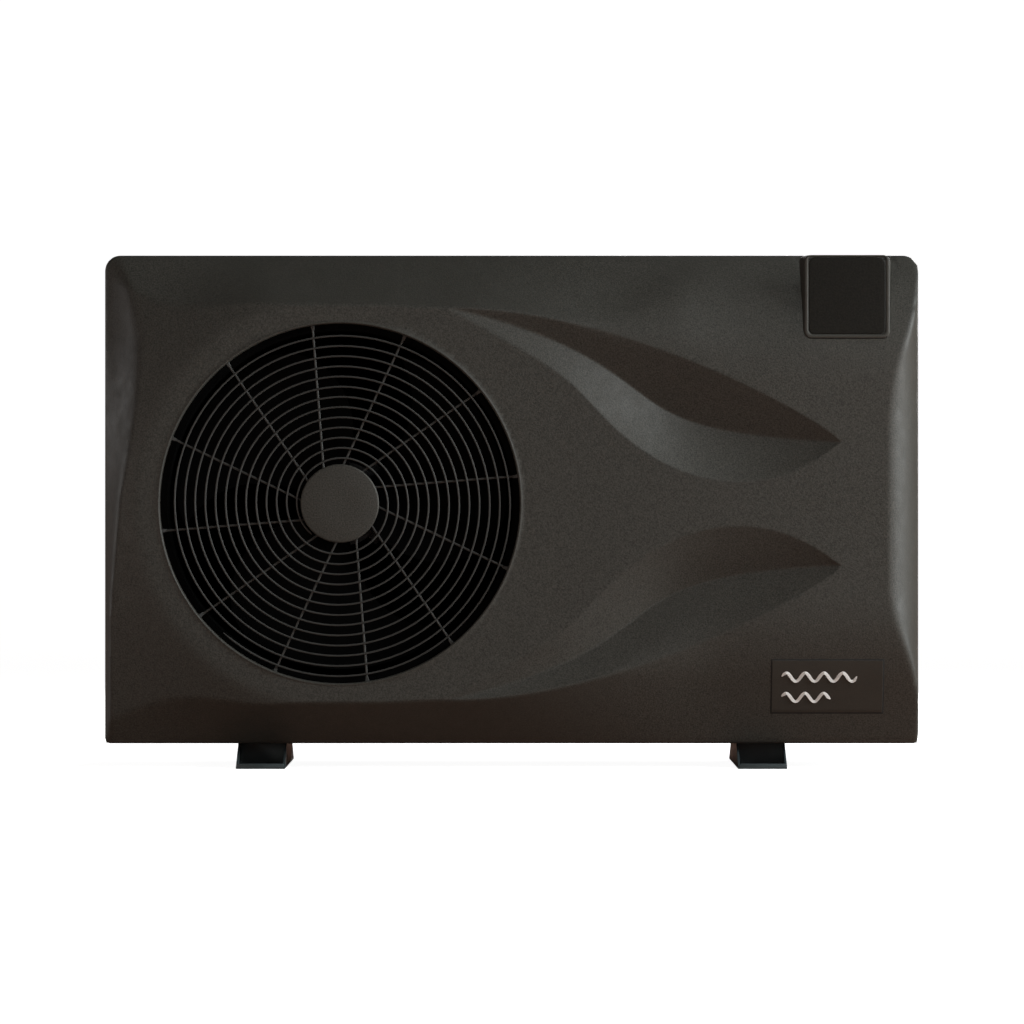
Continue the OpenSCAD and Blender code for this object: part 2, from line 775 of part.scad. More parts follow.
// Return bends of the coil at both ends of the fin stack
module evaporator_tubes() {
    mid = evap_t / 2;
    color([0.72, 0.45, 0.25]) for (z = [evap_z0 + 20 : 2 * tube_pitch : evap_z1 - 30]) {
        translate([evap_end_x + sheet, evap_y - mid, z + tube_pitch / 2]) rotate([90, 0, 0])
            rotate([0, 0, -90]) rotate_extrude(angle = 180) translate([tube_pitch / 2, 0]) circle(r = tube_r);
        translate([evap_x + mid, evap_end_y - sheet, z + tube_pitch / 2]) rotate([0, 90, 0])
            rotate([0, 0, 180]) rotate_extrude(angle = 180) translate([tube_pitch / 2, 0]) circle(r = tube_r);
    }
}

// ---- Refrigerant bay ----

module partition() {
    color([0.4, 0.41, 0.42]) difference() {
        block([part_x, skirt_y + 6, pan_z + 0.5], [part_x + sheet, back_y - 16, z_cover - 4]);
        rod([part_x - 5, evap_y - evap_t / 2, gas_z], [part_x + 5, evap_y - evap_t / 2, gas_z], gas_r + 3);
        rod([part_x - 5, evap_y - evap_t / 2, liq_z], [part_x + 5, evap_y - evap_t / 2, liq_z], liq_r + 3);
    }
}

module compressor() {
    color([0.1, 0.1, 0.11]) translate([comp_x, comp_y, 0]) {
        rotate_extrude() polygon(concat([[0, 62], [45, 62]], arc([comp_r - 12, 76], 12, -60, 0, 5),
            arc([comp_r - 20, comp_top - 20], 20, 0, 80, 6), [[0, comp_top]]));
        difference() {
            for (a = [30, 150, 270]) rotate([0, 0, a]) block([0, -14, 58], [80, 14, 64]);
            for (a = [30, 150, 270]) rotate([0, 0, a]) translate([68, 0, 50]) cylinder(h = 30, r = 5);
        }
    }
}

// Rubber bushes under the compressor's three lugs, each with its stud and nut
module compressor_mounts() {
    color([0.05, 0.05, 0.05]) translate([comp_x, comp_y, 0])
        for (a = [30, 150, 270]) rotate([0, 0, a]) translate([68, 0, 0]) {
            translate([0, 0, pan_z]) cylinder(h = 58 - pan_z, r = 12);
            translate([0, 0, 50]) cylinder(h = 26, r = 4.5);
            translate([0, 0, 64.2]) cylinder(h = 5, r = 8);
        }
}

module terminal_cover() {
    color([0.1, 0.1, 0.1]) translate([comp_x - 20, comp_y, comp_top]) cylinder(h = 20, r = 16);
}

module accumulator() {
    color([0.1, 0.1, 0.11]) {
        translate([acc_x, acc_y, 0]) rotate_extrude() polygon(concat([[0, 112], [12, 112]],
            arc([acc_r - 8, 126], 8, -60, 0, 4), arc([acc_r - 10, 278], 10, 0, 70, 4), [[0, 290]]));
        pipe([[acc_x, acc_y, 113], [acc_x, acc_y, 90], [acc_x, comp_y - 48, 90]], gas_r);
    }
}

module four_way_valve() {
    color([0.7, 0.5, 0.28]) {
        rod([valve_x - 52, valve_y, valve_z], [valve_x + 52, valve_y, valve_z], 14);
        for (s = [-30, 0, 30])
            rod([valve_x + s, valve_y, valve_z - 25], [valve_x + s, valve_y, valve_z - 5], 7.5);
        rod([valve_x, valve_y, valve_z + 5], [valve_x, valve_y, valve_z + 25], 7.5);
        block([valve_x - 18, valve_y - 40, valve_z - 12], [valve_x + 18, valve_y - 12, valve_z + 12]);
    }
}

module discharge_pipe() {
    up = valve_z + 62;
    color([0.72, 0.45, 0.25]) pipe([[valve_x, comp_y, comp_top], [valve_x, comp_y, up],
        [valve_x, valve_y, up], [valve_x, valve_y, valve_z + 25]], gas_r);
}

module suction_pipe() {
    z = 350;
    color([0.72, 0.45, 0.25]) pipe([[valve_x, valve_y, valve_z - 25], [valve_x, valve_y, z],
        [acc_x, valve_y, z], [acc_x, acc_y, z], [acc_x, acc_y, 290]], gas_r);
}

module gas_pipe() {
    x = valve_x + 30;
    z = gas_z - 8;
    color([0.72, 0.45, 0.25]) pipe([[x, valve_y, valve_z - 25], [x, valve_y, z], [x, hx_y, z],
        [port_x - hx_r + 3, hx_y, z]], gas_r);
}

module evaporator_pipe() {
    x = valve_x - 30;
    y = evap_y - evap_t / 2;
    color([0.72, 0.45, 0.25]) pipe([[x, valve_y, valve_z - 25], [x, valve_y, gas_z],
        [part_x + 30, valve_y, gas_z], [part_x + 30, y, gas_z], [evap_end_x + sheet, y, gas_z]], gas_r);
}

module liquid_pipe() {
    y = evap_y - evap_t / 2;
    color([0.72, 0.45, 0.25]) {
        pipe([[port_x, hx_y - hx_r + 3, liq_z], [port_x, liq_y, liq_z], [345, liq_y, liq_z]], liq_r);
        rod([285, liq_y, liq_z], [265, liq_y, liq_z], liq_r);
        pipe([[237, liq_y, liq_z], [part_x + 25, liq_y, liq_z], [part_x + 25, y, liq_z],
              [evap_end_x + sheet, y, liq_z]], liq_r);
    }
}

module filter_drier() {
    color([0.55, 0.4, 0.2]) {
        rod([292, liq_y, liq_z], [338, liq_y, liq_z], 14);
        rod([285, liq_y, liq_z], [345, liq_y, liq_z], 8);
    }
}

module expansion_valve() {
    color([0.75, 0.6, 0.3]) {
        rod([237, liq_y, liq_z], [265, liq_y, liq_z], 9);
        rod([251, liq_y, liq_z], [251, liq_y, liq_z + 22], 7);
        rod([251, liq_y, liq_z + 18], [251, liq_y, liq_z + 52], 18);
    }
}

// ---- Water side ----

// Upright vessel with end caps that holds the titanium coil
module heat_exchanger() {
    color([0.35, 0.37, 0.4]) translate([port_x, hx_y, 0]) {
        translate([0, 0, pan_z]) cylinder(h = 30, r = 50);
        translate([0, 0, 60]) cylinder(h = hx_top - 60, r = hx_r);
        translate([0, 0, 72]) cylinder(h = 20, r = hx_r + 4);
        translate([0, 0, hx_top - 32]) cylinder(h = 20, r = hx_r + 4);
    }
}

module water_pipe(z) {
    tube(port_x, z, hx_y + hx_r - 2, back_y - 7, pipe_r, pipe_bore);
}

module inlet_pipe() {
    color([0.85, 0.85, 0.83]) difference() {
        water_pipe(inlet_z);
        translate([port_x, paddle_y, inlet_z + 10]) cylinder(h = 30, r = 4.5);
    }
}

module outlet_pipe() {
    color([0.85, 0.85, 0.83]) water_pipe(outlet_z);
}

// Tail with two collars that keep the nut, and a socket for the pool pipe
module union_tail(z) {
    end_y = back_y + union_l;
    color([0.16, 0.16, 0.17]) difference() {
        union() {
            disc(port_x, z, back_y - 7, end_y, tail_r);
            disc(port_x, z, back_y + 1, nut_y0 - 0.5, tail_r + 4);
            disc(port_x, z, nut_y1 + 0.5, nut_y1 + 4, tail_r + 3);
        }
        disc(port_x, z, back_y - 10, end_y + 5, pipe_bore);
        disc(port_x, z, end_y - socket_l, end_y + 5, socket_r);
    }
}

module inlet_union() {
    union_tail(inlet_z);
}

module outlet_union() {
    union_tail(outlet_z);
}

// Ribbed ring nut that turns on the tail
module ring_nut(z) {
    ribs = 8;
    color([0.12, 0.12, 0.13]) difference() {
        union() {
            disc(port_x, z, nut_y0, nut_y1, nut_r);
            for (i = [0 : ribs - 1]) translate([port_x, 0, z]) rotate([0, 360 * i / ribs, 0])
                block([nut_r - 3, nut_y0 + 2, -4], [nut_r + 3, nut_y1 - 2, 4]);
        }
        disc(port_x, z, nut_y0 - 5, nut_y1 + 5, tail_r + run_gap);
    }
}

module inlet_nut() {
    ring_nut(inlet_z);
}

module outlet_nut() {
    ring_nut(outlet_z);
}

// Head on the inlet pipe, with a stem and ears that carry the paddle's pin
module flow_switch() {
    top = inlet_z + pipe_r;
    color([0.15, 0.15, 0.16]) {
        block([port_x - 14, paddle_y - 14, top + 0.3], [port_x + 14, paddle_y + 14, top + 34]);
        translate([port_x, paddle_y, paddle_z + 5]) cylinder(h = top + 2 - paddle_z - 5, r = 4);
        block([port_x - 7, paddle_y - 2, paddle_z + 3.6], [port_x + 7, paddle_y + 2, paddle_z + 5.2]);
        for (s = [-1, 1]) block([port_x + s * 6.2 - 0.8, paddle_y - 2, paddle_z - 2.5],
                                [port_x + s * 6.2 + 0.8, paddle_y + 2, paddle_z + 4]);
        rod([port_x - 6, paddle_y, paddle_z], [port_x + 6, paddle_y, paddle_z], 1.5);
    }
}

module flow_paddle() {
    color([0.7, 0.7, 0.7]) difference() {
        union() {
            rod([port_x - 5, paddle_y, paddle_z], [port_x + 5, paddle_y, paddle_z], 3);
            block([port_x - 4.5, paddle_y - 0.6, paddle_z - 12], [port_x + 4.5, paddle_y + 0.6, paddle_z]);
            disc(port_x, paddle_z - 18, paddle_y - 0.6, paddle_y + 0.6, 9);
        }
        rod([port_x - 6, paddle_y, paddle_z], [port_x + 6, paddle_y, paddle_z], 1.5 + run_gap);
    }
}

// ---- Electrics ----

box_lo = [165, -114, 400];
box_hi = [450, -34, 590];

module control_box() {
    color([0.45, 0.46, 0.47]) difference() {
        block(box_lo, box_hi);
        block(box_lo + [sheet, -1, sheet], box_hi - [sheet, sheet, sheet]);
    }
}

module circuit_board() {
    y = box_hi.y - 14;
    color([0.1, 0.3, 0.15]) {
        block([box_lo.x + 12, y, box_lo.z + 10], [box_hi.x - 12, y + 2, box_hi.z - 10]);
        for (i = [0 : 3]) disc(220 + i * 34, 545, y - 38, y + 1, 14);
        block([350, y - 30, 430], [420, y + 1, 520]);
        block([200, y - 22, 430], [300, y + 1, 480]);
    }
}

module terminal_block() {
    color([0.12, 0.12, 0.12]) difference() {
        block([box_hi.x + 5, -96, 350], [box_hi.x + 30, -12, 392]);
        for (i = [0 : 4]) block([box_hi.x + 22, -92 + i * 16, 354], [box_hi.x + 40, -80 + i * 16, 388]);
    }
}

module gauge_case() {
    y0 = back_y + 0.3;
    color([0.1, 0.1, 0.1]) {
        difference() {
            disc(gauge_x, gauge_z, y0, y0 + 18, gauge_r);
            disc(gauge_x, gauge_z, y0 + 4, y0 + 20, gauge_r - 2.5);
        }
        disc(gauge_x, gauge_z, y0 + 3, y0 + 9, 1);
        disc(gauge_x, gauge_z, back_y - 18, y0 + 1, 6);
    }
}

module gauge_needle() {
    y0 = back_y + 5.5;
    color([0.8, 0.1, 0.1]) difference() {
        union() {
            disc(gauge_x, gauge_z, y0, y0 + 2, 3);
            translate([gauge_x, 0, gauge_z]) rotate([0, 45, 0])
                block([-6, y0 + 0.5, -0.8], [18, y0 + 1.5, 0.8]);
        }
        disc(gauge_x, gauge_z, y0 - 2, y0 + 4, 1 + run_gap);
    }
}

module cable_glands() {
    y0 = back_y + 0.2;
    color([0.1, 0.1, 0.1]) for (z = gland_zs) difference() {
        union() {
            translate([gland_x, y0 + 7, z]) rotate([90, 0, 0]) cylinder(h = 7, r = 14, $fn = 6);
            disc(gland_x, z, y0 + 6, y0 + 22, 10.5);
            disc(gland_x, z, back_y - 12, y0 + 1, 8);
        }
        disc(gland_x, z, back_y - 20, y0 + 30, 5);
    }
}

front_panel();
top_cover();
left_panel();
right_panel();
rear_grille();
service_panel();
base_pan();
foot_left();
foot_right();
access_cover();
panel_screws();
name_plate();
display_housing();
display_screen();
display_flap();
hinge_pin();
power_key();
mode_key();
up_key();
down_key();
grille_spiral();
grille_spokes();
grille_cap();
fan_shroud();
motor_bracket();
fan_motor();
fan_shaft();
fan_blades();
fan_nut();
evaporator_fins();
evaporator_tubes();
end_plates();
partition();
compressor();
compressor_mounts();
terminal_cover();
accumulator();
four_way_valve();
discharge_pipe();
suction_pipe();
gas_pipe();
evaporator_pipe();
liquid_pipe();
expansion_valve();
filter_drier();
heat_exchanger();
inlet_pipe();
outlet_pipe();
inlet_union();
outlet_union();
inlet_nut();
outlet_nut();
flow_switch();
flow_paddle();
control_box();
circuit_board();
terminal_block();
gauge_case();
gauge_needle();
cable_glands();
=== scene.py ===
import math

import bmesh
import bpy
import numpy as np
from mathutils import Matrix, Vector
from mathutils.geometry import tessellate_polygon


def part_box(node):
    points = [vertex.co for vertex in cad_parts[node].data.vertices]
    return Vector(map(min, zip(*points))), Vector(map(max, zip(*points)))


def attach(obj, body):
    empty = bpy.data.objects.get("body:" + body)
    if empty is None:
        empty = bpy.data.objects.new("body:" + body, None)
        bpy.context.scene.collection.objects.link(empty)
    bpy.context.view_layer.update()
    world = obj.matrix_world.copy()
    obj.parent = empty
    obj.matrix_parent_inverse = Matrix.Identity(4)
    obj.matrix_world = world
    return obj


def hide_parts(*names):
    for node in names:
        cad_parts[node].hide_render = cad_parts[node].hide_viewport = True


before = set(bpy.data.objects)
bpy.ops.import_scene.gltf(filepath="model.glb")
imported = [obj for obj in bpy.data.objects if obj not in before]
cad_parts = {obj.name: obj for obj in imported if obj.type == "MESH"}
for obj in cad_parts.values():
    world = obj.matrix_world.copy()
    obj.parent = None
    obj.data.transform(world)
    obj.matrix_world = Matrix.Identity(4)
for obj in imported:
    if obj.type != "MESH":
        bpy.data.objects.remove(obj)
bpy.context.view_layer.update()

MM = 0.001
scene = bpy.context.scene


def box_mm(node):
    lo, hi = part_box(node)
    return np.array(lo) * 1000, np.array(hi) * 1000


# ---- Places, in millimetres, from the CAD nodes ----

panel_lo, panel_hi = box_mm("front_panel")
HALF_W = panel_hi[0]
FACE_Y, SKIRT_Y = panel_lo[1], panel_hi[1]
Z_LOW, Z_TOP = panel_lo[2], panel_hi[2]
RIM_DEPTH = 60.0
MID_Z = (Z_LOW + Z_TOP) / 2
cap_lo, cap_hi = box_mm("grille_cap")
FAN = (cap_lo + cap_hi) / 2
OPEN_R = 220.0
LEAF_Z = FAN[2] - 0.5
WALL = 2.2
SKIRT_START = -139.0
# Radii of the casing's outline at its upper and lower corners
CORNER_TOP, CORNER_LOW = 19.0, 6.5


# ---- Small helpers ----

def smooth(a, b, t):
    """0 at a, 1 at b, and an S-curve between."""
    s = np.clip((t - a) / (b - a), 0, 1)
    return s * s * (3 - 2 * s)


def hinge(t, w):
    """0 below -w, t above w, and a parabola between."""
    return np.where(t <= -w, 0, np.where(t >= w, t, (t + w) ** 2 / (4 * w)))


def soft_max(a, b, k):
    """The greater of a and b, blended where they differ by less than k."""
    h = np.maximum(k - np.abs(a - b), 0)
    m = np.maximum(a, b)
    return m + h * h / (4 * k) * np.clip(m / k, 0, 1)


def soft_min(a, b, k):
    h = np.maximum(k - np.abs(a - b), 0)
    return np.minimum(a, b) - h * h / (4 * k)


def bezier(points, n=400):
    """x and z along a Bezier curve."""
    t = np.linspace(0, 1, n)[:, None]
    p = [np.array(q, float)[None, :] for q in points]
    while len(p) > 1:
        p = [(1 - t) * a + t * b for a, b in zip(p, p[1:])]
    return p[0][:, 0], p[0][:, 1]


def outward(verts, faces):
    """The faces of one closed shell, turned so that they point out."""
    p = np.asarray(verts, float)
    p = p - p.mean(0)
    volume = sum(np.dot(p[f[0]], np.cross(p[f[k]], p[f[k + 1]])) for f in faces for k in range(1, len(f) - 1))
    return faces if volume > 0 else [tuple(f)[::-1] for f in faces]


def add_mesh(name, verts, faces, body="root", sharp=35.0):
    """A mesh from points in millimetres, smooth but for edges over a sharp angle."""
    me = bpy.data.meshes.new(name)
    me.from_pydata((np.asarray(verts, float) * MM).tolist(), [], [list(map(int, f)) for f in faces])
    me.update()
    me.shade_smooth()
    if sharp is not None:
        me.set_sharp_from_angle(angle=math.radians(sharp))
    ob = bpy.data.objects.new(name, me)
    scene.collection.objects.link(ob)
    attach(ob, body)
    return ob


def ring_faces(a, b, n, closed=True):
    """Quads between two rings of n points that start at index a and b."""
    last = n if closed else n - 1
    return [(a + i, a + (i + 1) % n, b + (i + 1) % n, b + i) for i in range(last)]


def loft(rings, cap_first=True, cap_last=True):
    """Verts and faces through rings of equal length."""
    n = len(rings[0])
    verts = [p for r in rings for p in r]
    faces = [f for k in range(len(rings) - 1) for f in ring_faces(k * n, (k + 1) * n, n)]
    if cap_first:
        faces.append(tuple(range(n))[::-1])
    if cap_last:
        faces.append(tuple(range((len(rings) - 1) * n, len(rings) * n)))
    return verts, faces


def join(parts):
    """Verts and faces of separate closed shells in one mesh."""
    verts, faces = [], []
    for v, f in parts:
        k = len(verts)
        verts += [tuple(p) for p in v]
        faces += [tuple(i + k for i in q) for q in outward(v, f)]
    return verts, faces


def lathe_y(profile, cx, cz, steps=96):
    """A closed solid from a profile of (radius, y) that starts and ends on the axis."""
    inner = profile[1:-1]
    verts = [(cx, profile[0][1], cz)]
    for r, y in inner:
        for i in range(steps):
            a = 2 * math.pi * i / steps
            verts.append((cx + r * math.cos(a), y, cz + r * math.sin(a)))
    verts.append((cx, profile[-1][1], cz))
    faces = [(0, 1 + i, 1 + (i + 1) % steps) for i in range(steps)]
    for k in range(len(inner) - 1):
        faces += [(a, d, c, b) for a, b, c, d in ring_faces(1 + k * steps, 1 + (k + 1) * steps, steps)]
    last, base = len(verts) - 1, 1 + (len(inner) - 1) * steps
    faces += [(last, base + (i + 1) % steps, base + i) for i in range(steps)]
    return verts, faces


def washer_y(profile, cx, cz, steps=96):
    """A closed ring from a closed profile of (radius, y)."""
    n = len(profile)
    verts, faces = [], []
    for i in range(steps):
        a = 2 * math.pi * i / steps
        verts += [(cx + r * math.cos(a), y, cz + r * math.sin(a)) for r, y in profile]
    for i in range(steps):
        a, b = i * n, (i + 1) % steps * n
        faces += [(a + j, b + j, b + (j + 1) % n, a + (j + 1) % n) for j in range(n)]
    return verts, faces


def sweep(points, radius, sides=10, up=(0.0, 1.0, 0.0)):
    """A capped round bar along points; radius is one number or one for each point."""
    p = np.asarray(points, float)
    t = np.gradient(p, axis=0)
    t /= np.linalg.norm(t, axis=1)[:, None]
    u = np.asarray(up, float)[None, :] - (t @ np.asarray(up, float))[:, None] * t
    u /= np.linalg.norm(u, axis=1)[:, None]
    v = np.cross(t, u)
    rad = np.broadcast_to(np.asarray(radius, float), (len(p),))
    rings = []
    for k in range(len(p)):
        a = 2 * math.pi * np.arange(sides) / sides
        rings.append(p[k] + rad[k] * (np.cos(a)[:, None] * u[k] + np.sin(a)[:, None] * v[k]))
    return loft(rings)


def rounded_rect(x0, z0, x1, z1, r, y, n=7, top=None):
    """Points (x, y, z) of a rounded rectangle seen from the front; top is the upper corners' radius."""
    t = r if top is None else top
    out = []
    for cx, cz, q, a0 in ((x1 - r, z0 + r, r, -90), (x1 - t, z1 - t, t, 0), (x0 + t, z1 - t, t, 90),
                          (x0 + r, z0 + r, r, 180)):
        for i in range(n + 1):
            a = math.radians(a0 + 90 * i / n)
            out.append((cx + q * math.cos(a), y, cz + q * math.sin(a)))
    return out


# ---- Materials ----

def shader(name, colour, rough, metallic=0.0, specular=0.5, coat=0.0, coat_rough=0.2,
           grain=None, blotch=(9.0, 0.05), attribute=None):
    """A procedural finish. grain = (scale, depth in mm, colour share), blotch = (scale, share);
    attribute names the mesh attribute that weights the grain."""
    m = bpy.data.materials.new(name)
    m.use_nodes = True
    nt = m.node_tree
    nt.nodes.clear()

    def node(kind, **inputs):
        n = nt.nodes.new(kind)
        for k, v in inputs.items():
            n.inputs[k.replace("_", " ")].default_value = v
        return n

    out = node("ShaderNodeOutputMaterial")
    bsdf = node("ShaderNodeBsdfPrincipled")
    nt.links.new(bsdf.outputs["BSDF"], out.inputs["Surface"])
    bsdf.inputs["Metallic"].default_value = metallic
    bsdf.inputs["Specular IOR Level"].default_value = specular
    bsdf.inputs["Coat Weight"].default_value = coat
    bsdf.inputs["Coat Roughness"].default_value = coat_rough
    tex = node("ShaderNodeTexCoord")

    def noise(scale, detail=3.0, rough_in=0.55):
        n = node("ShaderNodeTexNoise", Scale=scale, Detail=detail, Roughness=rough_in)
        nt.links.new(tex.outputs["Object"], n.inputs["Vector"])
        return n.outputs["Fac"]

    def spread(fac, low, high):
        """Map noise 0.3..0.7 to low..high."""
        n = node("ShaderNodeMapRange")
        nt.links.new(fac, n.inputs["Value"])
        for key, v in (("From Min", 0.3), ("From Max", 0.7), ("To Min", low), ("To Max", high)):
            n.inputs[key].default_value = v
        return n.outputs["Result"]

    def times(a, b):
        n = node("ShaderNodeMath")
        n.operation = "MULTIPLY"
        nt.links.new(a, n.inputs[0])
        nt.links.new(b, n.inputs[1])
        return n.outputs[0]

    gain = spread(noise(blotch[0]), 1 - blotch[1], 1 + blotch[1])
    fine = None
    if grain:
        fine = noise(grain[0], 2.0, 0.6)
        amount = spread(fine, 1 - grain[2], 1 + grain[2])
        if attribute:
            att = node("ShaderNodeAttribute")
            att.attribute_name = attribute
            mixer = node("ShaderNodeMix")
            mixer.data_type = "FLOAT"
            nt.links.new(att.outputs["Fac"], mixer.inputs[0])
            mixer.inputs[2].default_value = 1.0
            nt.links.new(amount, mixer.inputs[3])
            amount = mixer.outputs[0]
        gain = times(gain, amount)
    tint = node("ShaderNodeVectorMath")
    tint.operation = "SCALE"
    tint.inputs[0].default_value = colour
    nt.links.new(gain, tint.inputs["Scale"])
    nt.links.new(tint.outputs["Vector"], bsdf.inputs["Base Color"])
    sheen = spread(noise(60.0), rough - ROUGH_SPREAD, min(1.0, rough + ROUGH_SPREAD))
    nt.links.new(sheen, bsdf.inputs["Roughness"])
    bump = node("ShaderNodeBump", Strength=0.5)
    bump.inputs["Distance"].default_value = (grain[1] if grain else 0.05) * MM
    nt.links.new(fine if fine is not None else noise(420.0), bump.inputs["Height"])
    nt.links.new(bump.outputs["Normal"], bsdf.inputs["Normal"])
    return m


ROUGH_SPREAD = 0.06

# Every slot's finish
SLOTS = {
    "casing": shader("casing_plastic", (0.047, 0.0445, 0.038), 0.55, specular=0.4,
                     grain=(560.0, 0.4, 0.46), blotch=(7.0, 0.03), attribute="grain"),
    "rear_casing": shader("rear_plastic", (0.036, 0.0345, 0.031), 0.58, specular=0.4,
                          grain=(620.0, 0.14, 0.10), blotch=(6.0, 0.05)),
    "pan_metal": shader("pan_paint", (0.09, 0.095, 0.1), 0.5, grain=(900.0, 0.05, 0.06), blotch=(14.0, 0.1)),
    "foot_steel": shader("foot_paint", (0.040, 0.054, 0.058), 0.42,
                         grain=(800.0, 0.06, 0.1), blotch=(18.0, 0.12)),
    "screw_steel": shader("screw_metal", (0.42, 0.42, 0.43), 0.35, metallic=1.0, grain=(1500.0, 0.02, 0.08)),
    "plate": shader("plate_plastic", (0.043, 0.0395, 0.033), 0.55, specular=0.4, grain=(620.0, 0.1, 0.08)),
    "screen": shader("screen_glass", (0.012, 0.015, 0.02), 0.12, specular=0.6, coat=0.6, coat_rough=0.06),
    "flap": shader("flap_plastic", (0.0094, 0.0084, 0.0062), 0.6, specular=0.22,
                   grain=(430.0, 0.3, 0.4), blotch=(12.0, 0.05)),
    "keys": shader("key_rubber", (0.09, 0.09, 0.09), 0.7, grain=(900.0, 0.05, 0.08)),
    "guard_wire": shader("wire_coating", (0.044, 0.0433, 0.0405), 0.5, specular=0.4,
                         grain=(900.0, 0.05, 0.12)),
    # Black plastic made darker still: painted shade inside the unit, behind the fan guard
    "shroud_black": shader("shroud_plastic_and_shade", (0.0022, 0.0022, 0.0022), 0.8, specular=0.05,
                           grain=(700.0, 0.1, 0.1)),
    # Dark fin coating, kept near black as painted shade inside the unit
    "fins": shader("fin_coating_and_shade", (0.008, 0.0085, 0.009), 0.6, specular=0.15,
                   grain=(700.0, 0.04, 0.1), blotch=(12.0, 0.2)),
    "copper": shader("copper_tube", (0.42, 0.19, 0.1), 0.38, metallic=1.0, blotch=(16.0, 0.3)),
    "valve_brass": shader("brass", (0.45, 0.32, 0.15), 0.35, metallic=1.0, blotch=(20.0, 0.2)),
    "compressor_black": shader("enamel", (0.012, 0.012, 0.013), 0.3, grain=(260.0, 0.1, 0.1)),
    "mount_rubber": shader("rubber", (0.014, 0.014, 0.014), 0.8, grain=(700.0, 0.1, 0.15)),
    "moulded_black": shader("moulded_black", (0.014, 0.014, 0.014), 0.5, grain=(700.0, 0.1, 0.12)),
    "vessel_grey": shader("vessel_paint", (0.14, 0.145, 0.15), 0.5, grain=(500.0, 0.06, 0.08)),
    "pipe_white": shader("pipe_pvc", (0.55, 0.55, 0.53), 0.35, grain=(900.0, 0.02, 0.03)),
    "board_green": shader("board_lacquer", (0.02, 0.1, 0.04), 0.4, grain=(1200.0, 0.04, 0.15)),
    "needle_red": shader("needle_paint", (0.5, 0.03, 0.02), 0.45),
}
WHITE_INK = shader("mark_ink", (0.86, 0.86, 0.84), 0.45, grain=(900.0, 0.02, 0.03))


def finish_piece(ob, slot, material=None):
    ob.data.materials.clear()
    ob.data.materials.append(material or SLOTS[slot])
    return ob


# ---- Front panel relief ----

# Edges of the upper leaf hollow about the fan's level; the lower one is its mirror image
OUTER = bezier([[-80, 240], [143, 244], [411, 85], [401, 75]])
VALLEY = bezier([[-80, 240], [20, 221], [241, 149], [71, 93], [401, 75]])
INNER = bezier([[-80, 240], [172, 98], [17, 203], [206, -88], [401, 75]])
LEAF_X0, LEAF_X1 = -80.0, 401.0
LEAF_SLOPE = 0.41
# Width of the band that falls back along the left side, by height
BAND_Z = (150, 210, 330, 390, 450, 530, 600, 630)
BAND_W = (7, 9, 19, 29, 38, 44, 28, 14)
# The face beside the fan falls back beyond this radius, at this slope
DISH_R, DISH_SLOPE, DISH_SOFT = 252, 0.30, 3.0


def edge(curve, x):
    return np.interp(x, curve[0], curve[1])


def corner_growth(x):
    """How far the sloping rim widens towards the left corners."""
    return 36 * smooth(-290, -460, x)


def crease_top(x):
    """Height of the fold between the face and the rim above it."""
    base = 568 - 3.5 * smooth(-170, LEAF_X0, x)
    leaf = LEAF_Z + edge(OUTER, np.maximum(x, LEAF_X0))
    z = np.where(x < LEAF_X0, base, leaf)
    b = smooth(60, 220, x)
    return z * (1 - b) + 553 * b - corner_growth(x)


def crease_low(x):
    """Height of the fold between the face and the rim below it."""
    base = 81.5 + 3 * smooth(-170, LEAF_X0, x)
    leaf = LEAF_Z - edge(OUTER, np.maximum(x, LEAF_X0))
    z = np.where(x < LEAF_X0, base, leaf)
    return soft_min(z, 157.0, 14.0) + corner_growth(x)


def leaf_depth(x, h):
    """Depth of a leaf hollow at height h above the level half-way between the leaves."""
    o, v, i = edge(OUTER, x), edge(VALLEY, x), edge(INNER, x)
    inside = (x > LEAF_X0) & (x < LEAF_X1)
    gap_o, gap_i = np.maximum(o - v, 0.4), np.maximum(v - i, 0.4)
    deep = np.where(inside, LEAF_SLOPE * (o - v), 0)
    f = soft_min(deep * (o - h) / gap_o, deep * (h - i) / gap_i, 1.6)
    return hinge(f, 0.7) * inside


def relief(x, z):
    """Depth behind the foremost plane."""
    w = 2 + 74 * smooth(60, 300, x)
    zt = crease_top(x)
    top = hinge(z - zt, w) * RIM_DEPTH / hinge(Z_TOP - zt, w)
    w = 2 + 47 * smooth(100, 280, x)
    zb = crease_low(x)
    low = hinge(zb - z, w) * RIM_DEPTH / hinge(zb - Z_LOW, w)
    rho = np.hypot(x - FAN[0], z - FAN[2])
    away = DISH_SLOPE * DISH_SOFT * np.logaddexp(0, (rho - DISH_R) / DISH_SOFT) * smooth(-190, -230, x)
    wide = np.interp(z, BAND_Z, BAND_W)
    left = np.clip(hinge(wide - HALF_W - x, 0.2 * wide) / wide, 0, 1)
    xc = 461 + 25 * np.clip((z - 424) / 140, 0, 1) ** 1.5 + 29 * np.clip((230 - z) / 130, 0, 1) ** 1.8
    t = np.clip((x - xc) / (HALF_W - xc), 0, 0.995)
    right = RIM_DEPTH * (1 - np.sqrt(1 - t ** 1.5))
    d = soft_max(top, low, 2.0)
    d = soft_max(d, right, 3.0)
    d = soft_max(d, away, 2.0)
    d = d + (RIM_DEPTH - d) * left
    return d + leaf_depth(x, z - LEAF_Z) + leaf_depth(x, LEAF_Z - z)


def outline_distance(x, z):
    """Distance inside the casing's rounded outline."""
    r = np.where(z > MID_Z, CORNER_TOP, CORNER_LOW)
    qx = np.abs(x) - (HALF_W - r)
    qz = np.abs(z - MID_Z) - ((Z_TOP - Z_LOW) / 2 - r)
    out = np.hypot(np.maximum(qx, 0), np.maximum(qz, 0)) + np.minimum(np.maximum(qx, qz), 0) - r
    return -out


RIM_R = 3.0


